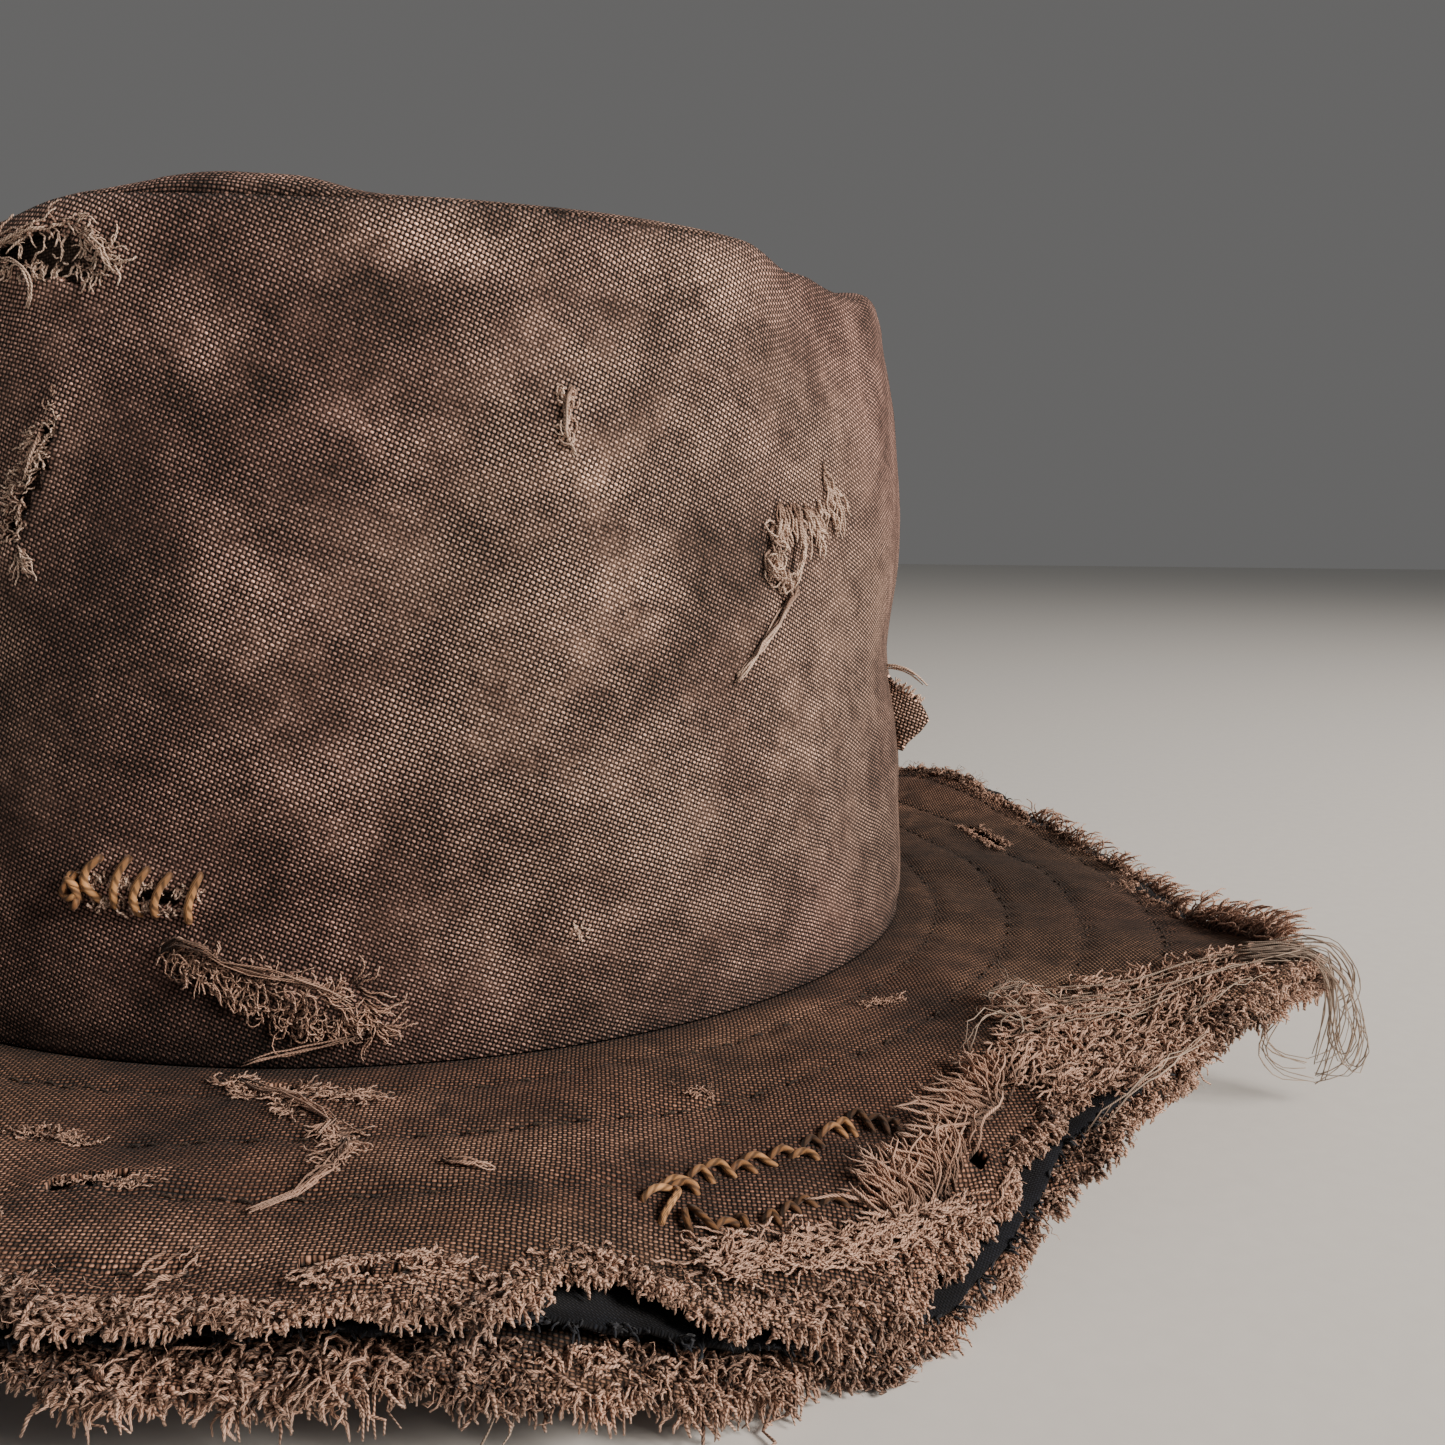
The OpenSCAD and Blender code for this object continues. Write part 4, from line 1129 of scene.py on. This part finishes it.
loose_yarns("lower_tear_yarns_frayed", "lower_tear_yarns", over_crown, [
    (strands, [(-109.6, 15.2, 0.5), (-108.8, 17, 0.8), (-106.4, 16.4, 0.8), (-104.6, 14, 0.7),
     (-101, 12.8, 0.8), (-97.6, 11.6, 0.7), (-95, 8.6, 0.5)], 11, 0.3),
    (strewn, [(-108.6, 15.4), (-105.6, 13.2), (-101.6, 11.8), (-97.4, 10.4), (-95, 6)], -35, 50,
     260, 1.0, 4.5, 1.3, 1.3),
    (strewn, [(-107.6, 13), (-104.6, 10), (-100.4, 7.4), (-96, 5)], -60, 60, 140, 0.8, 2.8, 1.0,
     1.1),
    (strewn, [(-95.2, 11.5), (-93.6, 7), (-93, 4.4)], -40, 40, 40, 2.0, 5.5, 0.9, 1.4),
    (coils, -108, 14.6, 1.3, 12, 0.8, 1.6, 1.3),
    (coils, -99, 8.8, 2.6, 26, 0.8, 1.8, 1.5),
    (coils, -94, 5.8, 1.0, 10, 0.8, 1.8, 1.5)],
    0.11, 66, ravelled_yarn)
loose_yarns("brim_tear_yarns_frayed", "brim_tear_yarns", over_brim, [
    (over_crown, strands, [(-94, 5, 1.0), (-97, 3.6, 1.4), (-100.6, 2.6, 2.0), (-103, 1.4, 2.6)],
     4, 0.2),
    (strewn, [(-104, 4), (-102, 6.8), (-99.6, 8.6), (-98, 14)], 30, 55, 140, 1.0, 3.5, 1.3, 1.2),
    (strewn, [(-99, 6.6), (-95.6, 8.6), (-93.6, 10.6)], 35, 45, 110, 1.2, 4.0, 1.1, 1.0),
    (strands, [(-103, 4.4, 0.6), (-100.6, 8, 0.8), (-98.2, 10.4, 0.8), (-96.6, 14, 0.7),
     (-95, 17, 0.5), (-95.6, 20.5, 0.4)], 8, 0.3),
    (strands, [(-94.2, 22, 0.5), (-94.0, 26, 0.7), (-95.2, 31.5, 0.6), (-97.4, 36.5, 0.2)], 10,
     0.3),
    (strewn, [(-95.2, 17), (-93.8, 22), (-95, 29)], 100, 40, 110, 1.0, 3.5, 1.1, 0.7),
    (strands, [(-88.9, 28.4, 0.3), (-87.8, 29.4, 0.6), (-86.6, 30.2, 0.2)], 6, 0.2)],
    0.11, 67, ravelled_yarn)
# Worn, hairy places and small holes on the brim
WORN = [([(-114, 20), (-111, 19), (-108, 21)], 40), ([(-111, 36), (-108, 40)], 40),
        ([(-72.8, 17.4), (-71.4, 18.4)], 10), ([(-51.6, 11), (-48.6, 13.4)], 34),
        ([(-107, 31), (-103, 31.6)], 40), ([(2, 31.4), (10, 31.4)], 60), ([(3, 35), (9, 35)], 40),
        ([(96, 29), (103, 31.6)], 60), ([(-169, 36.6), (-161, 35)], 60)]
loose_yarns("brim_worn_yarns", None, over_brim,
            [(strewn, line, 90, 90, 2 * count, 0.6, 2.0, 1.8, 0.6) for line, count in WORN],
            0.09, 68, ravelled_yarn)
# Small holes, and the lips of the slits out of sight, on the crown
loose_yarns("crown_worn_yarns", None, over_crown, [
    (strewn, [(-77.6, 16.6), (-76.4, 15.4)], 0, 90, 14, 0.8, 2.0, 1.0, 0.8),
    (strewn, [(-116, 24.6), (-112, 24.4), (-106, 23.2)], -90, 35, 60, 0.7, 2.0, 0.8, 0.6),
    (strewn, [(-115, 20.4), (-111, 20.2), (-107, 20)], 90, 40, 50, 0.7, 2.0, 0.8, 0.6),
    (strewn, [(113, 58.6), (118, 61.4), (123, 62.6)], -80, 40, 60, 1.2, 3.2, 0.8, 1.0),
    (strewn, [(18.4, 92.4), (20, 88), (21.6, 84)], 0, 50, 50, 1.0, 3.0, 0.8, 1.0)],
    0.14, 69)


# Hand-sewn mends in thick waxed thread, orange brown: five open overcast stitches and a knot
# over the slit low on the crown, and a hook of close whip stitches on the brim, whose lower
# arm has gone nearly as dark as the cloth.
MEND_R = 0.52
waxed_thread = spun("orange_waxed_linen_thread", 3.2, "#4c301c", "#70492c", "#c08e5d", "#7f5937",
                    gloss=0.7, wax=0.08)
soiled_thread = spun("soiled_waxed_linen_thread", 3.2, "#24160d", "#3a2516", "#7a5431", "#40291a",
                     gloss=0.75, wax=0.05)


def sewn(name, node, surface, runs, radius, arch, material, tones):
    """Separate stitches, each run over the cloth through its points and down into it."""
    paths = []
    for run in runs:
        run = np.array(run, float)
        t = np.linspace(0, 1, len(run))
        lift = -0.35 + (arch + 0.35) * np.sin(np.pi * np.clip(t, 0, 1)) ** 0.5
        flat = smooth_path(np.column_stack([run[:, 0] * MM_PER_DEGREE, run[:, 1], lift]), 16)
        end = np.linspace(0, 1, 16)
        flat[:, 2] = -0.5 + (arch + 0.5) * np.clip(np.sin(np.pi * end), 0, 1) ** 0.45
        paths.append(surface(flat[:, 0] / MM_PER_DEGREE, flat[:, 1], flat[:, 2]))
    tubes(name, node, np.array(paths), radius, tones, 9, material)


CROWN_STITCHES = [[(-114.3, 26.9), (-115.3, 25.4), (-115.5, 23.4), (-114.2, 21.0)],
                  [(-112.0, 27.0), (-112.7, 25.0), (-113.1, 22.8), (-113.2, 20.3)],
                  [(-110.5, 25.7), (-111.2, 23.8), (-111.6, 21.8), (-111.3, 19.6)],
                  [(-108.7, 25.1), (-109.4, 23.4), (-109.9, 21.4), (-110.0, 19.4)],
                  [(-106.3, 25.3), (-106.8, 23.2), (-107.2, 21.2), (-107.4, 18.8)]]
sewn("crown_mend_stitches", "crown_mend_thread", over_crown, CROWN_STITCHES, MEND_R, 0.75,
     waxed_thread, [0.7, 0.8, 0.55, 0.5, 0.75])
CROWN_KNOT = [[(-116.9, 21.0), (-117.2, 22.4), (-116.7, 23.6), (-116.1, 24.8)],
              [(-117.3, 22.0), (-116.6, 21.6), (-115.9, 22.2), (-116.1, 23.2)],
              [(-116.1, 21.2), (-115.8, 22.4), (-116.4, 23.8), (-116.9, 24.6)],
              [(-117.2, 23.6), (-116.6, 24.2), (-116.0, 23.4), (-115.8, 22.6)],
              [(-116.8, 20.6), (-116.2, 20.5), (-115.9, 21.2), (-116.3, 22.0)]]
sewn("crown_mend_knot", None, over_crown, CROWN_KNOT, 0.46, 1.25, waxed_thread,
     [0.2, 0.6, 0.35, 0.75, 0.1])
UPPER_ARM = [[(-79.6, 36.4), (-78.8, 35.5), (-77.7, 35.0)], [(-78.3, 33.7), (-77.3, 33.1), (-76.4, 35.0)],
             [(-77.7, 34.6), (-77.6, 36.2), (-78.4, 38.1), (-79.3, 40.3)],
             [(-78.0, 34.4), (-77.0, 34.4), (-76.6, 36.0)],
             [(-76.5, 32.9), (-75.6, 32.4), (-75.4, 34.6)], [(-75.5, 31.8), (-74.4, 32.0), (-74.1, 34.5)],
             [(-73.2, 32.0), (-72.2, 32.2), (-71.5, 34.3)], [(-71.6, 32.5), (-70.7, 32.5), (-70.1, 34.0)],
             [(-70.6, 33.8), (-69.7, 33.9), (-69.3, 35.6)], [(-74.4, 33.4), (-73.4, 32.9), (-72.9, 34.6)],
             [(-68.1, 32.2), (-67.0, 31.9), (-66.6, 33.6)], [(-67.0, 31.8), (-66.1, 31.8), (-66.0, 33.9)]]
sewn("brim_mend_stitches", "brim_mend_thread", over_brim, UPPER_ARM, 0.42, 0.6, waxed_thread,
     [0.6, 0.7, 0.65, 0.3, 0.4, 0.5, 0.45, 0.35, 0.4, 0.1, 0.3, 0.35])
LOWER_ARM = [[(-77.8, 38.5), (-78.1, 40.3), (-78.2, 42.3)], [(-77.5, 38.0), (-77.3, 40.8), (-76.9, 43.8)],
             [(-77.2, 42.6), (-76.4, 41.7), (-75.7, 42.1)], [(-75.7, 41.0), (-75.4, 41.7), (-75.5, 43.2)],
             [(-74.5, 42.2), (-73.9, 41.7), (-73.8, 43.1)], [(-73.4, 41.8), (-72.8, 41.2), (-72.5, 42.4)],
             [(-72.5, 41.0), (-71.9, 41.0), (-71.5, 42.2)], [(-71.2, 41.9), (-70.4, 42.0), (-70.0, 43.4)],
             [(-65.6, 31.0), (-64.8, 31.2), (-65.1, 34.8)], [(-64.9, 32.4), (-64.0, 33.4), (-64.6, 36.2)],
             [(-64.4, 33.8), (-63.6, 35.2), (-64.4, 38.0)], [(-69.4, 32.4), (-68.6, 32.2), (-68.3, 34.0)]]
sewn("brim_mend_soiled_stitches", None, over_brim, LOWER_ARM, 0.4, 0.5, soiled_thread,
     [0.8, 0.9, 0.7, 0.95, 0.5, 0.3, 0.4, 0.3, 0.15, 0.1, 0.1, 0.2])


# The brim's torn point, at the front right. The upper ply is worn there to a strip of loose
# cloth with its yarns standing in tufts, long silvery threads run out along it, and a few
# fine loops of thread hang from its end to the table.
silver_thread = spun("bleached_cotton_thread", 0.6, "#5c4a3e", "#7c6858", "#c9b3a0", "#bda792")


def strewn_over(rng, corners, count, towards, spread, low, high, bend, rise):
    """Loose yarns rooted all over a four-cornered patch of the brim."""
    across = rng.uniform(0, 1, (count, 1))
    along = rng.uniform(0, 1, (count, 1))
    corners = np.array(corners, float)
    near = corners[0] + (corners[1] - corners[0]) * across
    far = corners[3] + (corners[2] - corners[3]) * across
    roots = near + (far - near) * along
    paths = [strewn(rng, over_brim, [root, root], towards, spread, 1, low, high, bend, rise)
             for root in roots]
    return np.concatenate(paths)


rng = np.random.default_rng(71)
far_edge = [(-31, 62.5), (-28, 60), (-25, 57), (-21, 52.5), (-14, 50.5), (-6, 50.5),
            (2, 50.5), (9, 50)]
bundles = [
    strewn(rng, over_brim, [(-60.4, 41.4), (-58.6, 41.8), (-57, 40.6)], -98, 26, 70, 5.5, 10,
           0.35, 3.4),
    strewn(rng, over_brim, [(-58, 39), (-55.6, 39.4)], -70, 24, 46, 4.5, 8.5, 0.35, 3.0),
    strewn(rng, over_brim, [(-68.4, 47.4), (-66.6, 47), (-64.6, 46.4)], -92, 20, 70, 5.5, 10,
           0.3, 3.0),
    strewn(rng, over_brim, [(-64.4, 45.6), (-62.2, 44)], -84, 26, 46, 4.5, 8.5, 0.35, 2.8),
    strewn_over(rng, [(-56.5, 37), (-47, 31), (-44, 41), (-55, 46)], 330, -60, 70, 1.8, 4.6,
                0.9, 1.5),
    strewn_over(rng, [(-56, 44), (-45, 37), (-36, 56), (-52, 54)], 620, 20, 80, 1.5, 3.8,
                0.9, 1.1),
    strewn_over(rng, [(-46, 35), (-40, 33), (-33, 58), (-38, 60)], 330, 60, 60, 2.0, 4.5,
                0.8, 1.3),
    strewn_over(rng, [(-78, 43.5), (-66, 46.5), (-62, 51), (-79, 49)], 560, 80, 60, 1.4, 3.4,
                0.8, 1.3),
    strewn(rng, over_brim, [(-94, 48.4), (-91.6, 46.8), (-88.6, 48.4)], 80, 40, 170, 0.9, 2.4,
           1.0, 1.2),
    strewn(rng, over_brim, [(-94.6, 50.4), (-91, 51.6), (-88, 50.6)], 80, 60, 60, 0.7, 1.8,
           1.0, 0.9),
    strewn(rng, over_brim, [(-99.4, 42), (-99.2, 50)], 96, 10, 9, 2.5, 5.0, 0.3, 0.8),
    strewn(rng, over_brim, far_edge, 90, 38, 330, 2.0, 5.5, 0.7, 4.5),
    strewn(rng, over_brim, far_edge[:4], 80, 34, 190, 3.5, 8.0, 0.5, 7.0),
    coils(rng, over_brim, -47.2, 31.5, 2.2, 34, 1.2, 3.6, 3.4)]
paths = keep_in_box(np.concatenate(bundles))
tones = np.clip(rng.normal(1.0, 0.35, len(paths)), 0, 1)
tubes("brim_edge_tufts_yarns", "brim_edge_tufts", paths,
      taper(len(paths), paths.shape[1], 0.17, rng), tones, 3, ravelled_yarn)

rng = np.random.default_rng(72)
lines = [[(-45, 27, 1.2), (-42, 34, 1.0), (-39, 44, 0.9), (-36, 54, 1.0), (-34, 64, 0.8)],
         [(-46, 33, 1.0), (-43, 40, 1.2), (-40, 50, 0.8), (-36.5, 60, 1.0), (-35, 66, 0.6)],
         [(-51, 36, 1.0), (-47, 39, 1.6), (-44.6, 44, 1.0), (-42, 50, 0.8)],
         [(-48, 26, 2.6), (-45.6, 29, 3.6), (-44, 33, 1.6), (-44.8, 38, 0.8)],
         [(-54.6, 31.5, 0.6), (-52.4, 29.6, 2.2), (-50.2, 29.6, 2.8), (-48.6, 32, 1.4)],
         [(-43, 24, 3.8), (-44.6, 27.5, 2.6), (-44.2, 31.5, 1.0)],
         [(-56.6, 53, 0.8), (-52, 54.6, 1.4), (-48, 55, 1.0), (-45, 57, 0.6)],
         [(-44, 52, 0.6), (-41, 56, 1.2), (-38.6, 61, 0.6)]]
bundles = [strands(rng, over_brim, line, 3, 0.5) for line in lines]
bundles.append(coils(rng, over_brim, -47.6, 30, 1.8, 12, 1.6, 3.2, 4.0))
paths = np.concatenate(bundles)
tubes("brim_silver_threads", None, paths, taper(len(paths), 9, 0.1, rng),
      rng.uniform(0.3, 1, len(paths)), 4, silver_thread)

# Fine threads that leave the point, droop in loops, and touch the table
rng = np.random.default_rng(73)
start = on_brim(-35.5, 64.0, lift=0.3)
out = np.array([0.88, -0.25, 0.0])
side = np.array([0.25, 0.88, 0.0])
shapes = [[(-8, 0, 0.4), (0, 0, 1.2), (5, 0, 0.6), (8.5, 0, -4), (9, 1, -11), (7.5, 1, -18)],
          [(-7, 1, 0.4), (0, 1, 1.6), (6, 1, 1.0), (11, 1, -3), (14, 1, -10), (12, 1, -17),
           (7, 1, -19)],
          [(-6, 0, 0.2), (1, 0, 0.6), (3, 0, -4), (-1, 0, -9), (-3.5, 0, -14), (0, 0, -18),
           (6, 0, -19)],
          [(-5, 1, 0.3), (3, 1, 1.0), (8, 1, 0), (9, 1, -7), (10, 1, -14), (12.5, 1, -18),
           (15, 1, -13), (13, 1, -9)],
          [(-5, 2, 0.3), (4, 2, 2.2), (9, 2, 2.0), (12.5, 2, -2), (13, 2, -6), (11, 2, -8)]]
paths = []
for shape in shapes:
    for _ in range(7):
        points = np.array(shape, float) * rng.uniform(0.82, 1.12)
        points += rng.normal(0, 0.55, points.shape)
        world = start + points[:, :1] * out + points[:, 1:2] * side * 2
        paths.append(smooth_path(world + points[:, 2:] * [0, 0, 1], 18))
for azimuth, turn in ((-106.5, 1), (-104.8, 1), (-87.5, -1), (-86.8, -1)):
    edge = on_brim(azimuth, brim_width(azimuth), LOWER_TOP, 1.0, -0.4)
    outward = polar(1, azimuth, 0)
    aside = np.array([-outward[1], outward[0], 0]) * turn
    hang = np.array([(-3, 0, 0), (0.5, 0, 0), (2.2, 1, -2.5), (2.6, 3, -5), (2.4, 6, -6),
                     (2, 9, -5.4)])
    hang = hang + rng.normal(0, 0.3, hang.shape)
    world = edge + hang[:, :1] * outward + hang[:, 1:2] * aside + hang[:, 2:] * [0, 0, 1]
    paths.append(smooth_path(world, 18))
paths = keep_in_box(np.array(paths))
tubes("tip_loose_thread_loops", "tip_loose_threads", paths, taper(len(paths), 18, 0.11, rng),
      rng.uniform(0.2, 1, len(paths)), 5, silver_thread)


# Flap. A torn tongue of the crown's canvas, 15 mm long, that stands out sideways low on the
# right. It hangs by its inner edge, and its top edge has lost its cross yarns.
FLAP_AZIMUTH = -21.0


piece, s, t = cloth_grid("crown_flap_cloth", 14, 22)
reach = np.interp(1 - t, [0, 0.15, 0.45, 0.65, 0.85, 1], [3.5, 5.6, 6.4, 4.6, 2.0, 0.8])
out = (1 - s) * reach - 0.4
z = 44 - (1 - t) * 14.5 - (1 - s) * 4.5 * t
azimuth = FLAP_AZIMUTH + 1.6 * np.sin(np.pi * t) * (1 - s)
root = on_crown(np.full_like(z, FLAP_AZIMUTH), z)
angle = np.radians(azimuth)
radial = np.stack([np.cos(angle), np.sin(angle), 0 * angle], -1)
facing = np.stack([np.sin(angle), -np.cos(angle), 0 * angle], -1)
curl = (0.5 * np.sin(2.4 * (1 - s)) + 0.25 * np.sin(6 * t))[:, None]
set_shape(piece, root + radial * out[:, None] + facing * curl)
set_weave(piece, out, z)
set_attribute(piece, "fade", 0.45 + 0.4 * (1 - s))
set_attribute(piece, "soil_and_shade", 0 * z)
crown_flap = finish_cloth(piece, "crown_flap", 0.7, crown_canvas, closed=False)

rng = np.random.default_rng(74)
root = on_crown(FLAP_AZIMUTH, 44.0)
angle = math.radians(FLAP_AZIMUTH)
radial = np.array([math.cos(angle), math.sin(angle), 0])
facing = np.array([math.sin(angle), -math.cos(angle), 0])
paths = []
for lift, length in ((0.3, 6.6), (1.0, 7.4), (0.7, 5.0)):
    points = [(k, lift + 0.1 * k - 0.1 * k * k * 0.8) for k in np.linspace(-0.6, length, 7)]
    world = np.array([root + radial * x + np.array([0, 0, z]) for x, z in points])
    paths.append(smooth_path(world + facing * lift * 0.3, 10))
for _ in range(26):
    share = rng.uniform(0, 1)
    base = root + radial * (0.8 + 5.2 * share) + np.array([0, 0, -1.6 - 4.8 * share])
    turn = rng.normal(0.6, 0.5)
    tip = radial * math.sin(turn) + np.array([0, 0, math.cos(turn)]) + facing * rng.normal(0, 0.3)
    paths.append(np.array([base + tip * k for k in np.linspace(-0.5, rng.uniform(0.8, 1.9), 10)]))
paths = np.array(paths)
tubes("crown_flap_yarns", None, paths, taper(len(paths), 10, 0.2, rng),
      rng.uniform(0.4, 1, len(paths)), 5, pulled_yarn)


# Stage: a plain pale floor under the lowest point of the brim, one large soft light from
# the front right and above, a weak one from the left, and a pale grey room round it all.
FLOOR_SIZE = 6.0


def make_floor(height):
    bpy.ops.object.select_all(action="DESELECT")
    bpy.ops.mesh.primitive_plane_add(size=FLOOR_SIZE, location=(0, 0, height))
    floor = bpy.context.object
    floor.name = "floor"
    material = bpy.data.materials.new("pale_paper")
    material.use_nodes = True
    tree = material.node_tree
    shader = tree.nodes["Principled BSDF"]
    shader.inputs["Roughness"].default_value = 0.9
    grain = add(tree, "TexNoise",
                {"Vector": add(tree, "TexCoord").outputs["Object"], "Scale": 300.0, "Detail": 3.0})
    tone = add(tree, "Mix", grain, linear("#d9d8d4"), linear("#e2e1dd"), data_type="RGBA")
    tree.links.new(tone.outputs[2], shader.inputs["Base Color"])
    floor.data.materials.append(material)
    floor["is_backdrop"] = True


def make_light(name, place, target, size, power, colour):
    bpy.ops.object.light_add(type="AREA", location=place)
    lamp = bpy.context.object
    lamp.name = name
    lamp.data.size = size
    lamp.data.energy = power
    lamp.data.color = linear(colour)[:3]
    lamp.rotation_euler = (Vector(target) - Vector(place)).to_track_quat("-Z", "Y").to_euler()


# The camera stands close to the brim, a little above it, and looks past the crown
yaw, pitch, roll = math.radians(13.1), math.radians(8.3), math.radians(0.95)
forward = Vector((math.sin(yaw) * math.cos(pitch), math.cos(yaw) * math.cos(pitch),
                  -math.sin(pitch)))
level = Vector((math.cos(yaw), -math.sin(yaw), 0))
upward = level.cross(forward)
side = level * math.cos(roll) + upward * math.sin(roll)
top = upward * math.cos(roll) - level * math.sin(roll)
bpy.ops.object.camera_add(location=(0, -0.2644, 0.0695))
camera = bpy.context.object
camera.rotation_mode = "QUATERNION"
camera.rotation_quaternion = Matrix((side, top, -forward)).transposed().to_quaternion()
camera.data.sensor_width = 36
camera.data.lens = 33.5
camera.data.clip_start = 0.01
bpy.context.scene.camera = camera

make_floor(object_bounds()[0].z - 0.0003)
make_light("key_light", (1.05, -0.8, 0.68), (0, 0, 0.05), 0.5, 35.5, "#fff4ea")
make_light("fill_light", (-0.9, -0.9, 0.5), (0, 0, 0.05), 1.0, 0.5, "#eef2ff")
room = bpy.data.worlds.new("studio")
room.use_nodes = True
room.node_tree.nodes["Background"].inputs["Color"].default_value = linear("#bdbcbb")
room.node_tree.nodes["Background"].inputs["Strength"].default_value = 0.27
bpy.context.scene.world = room
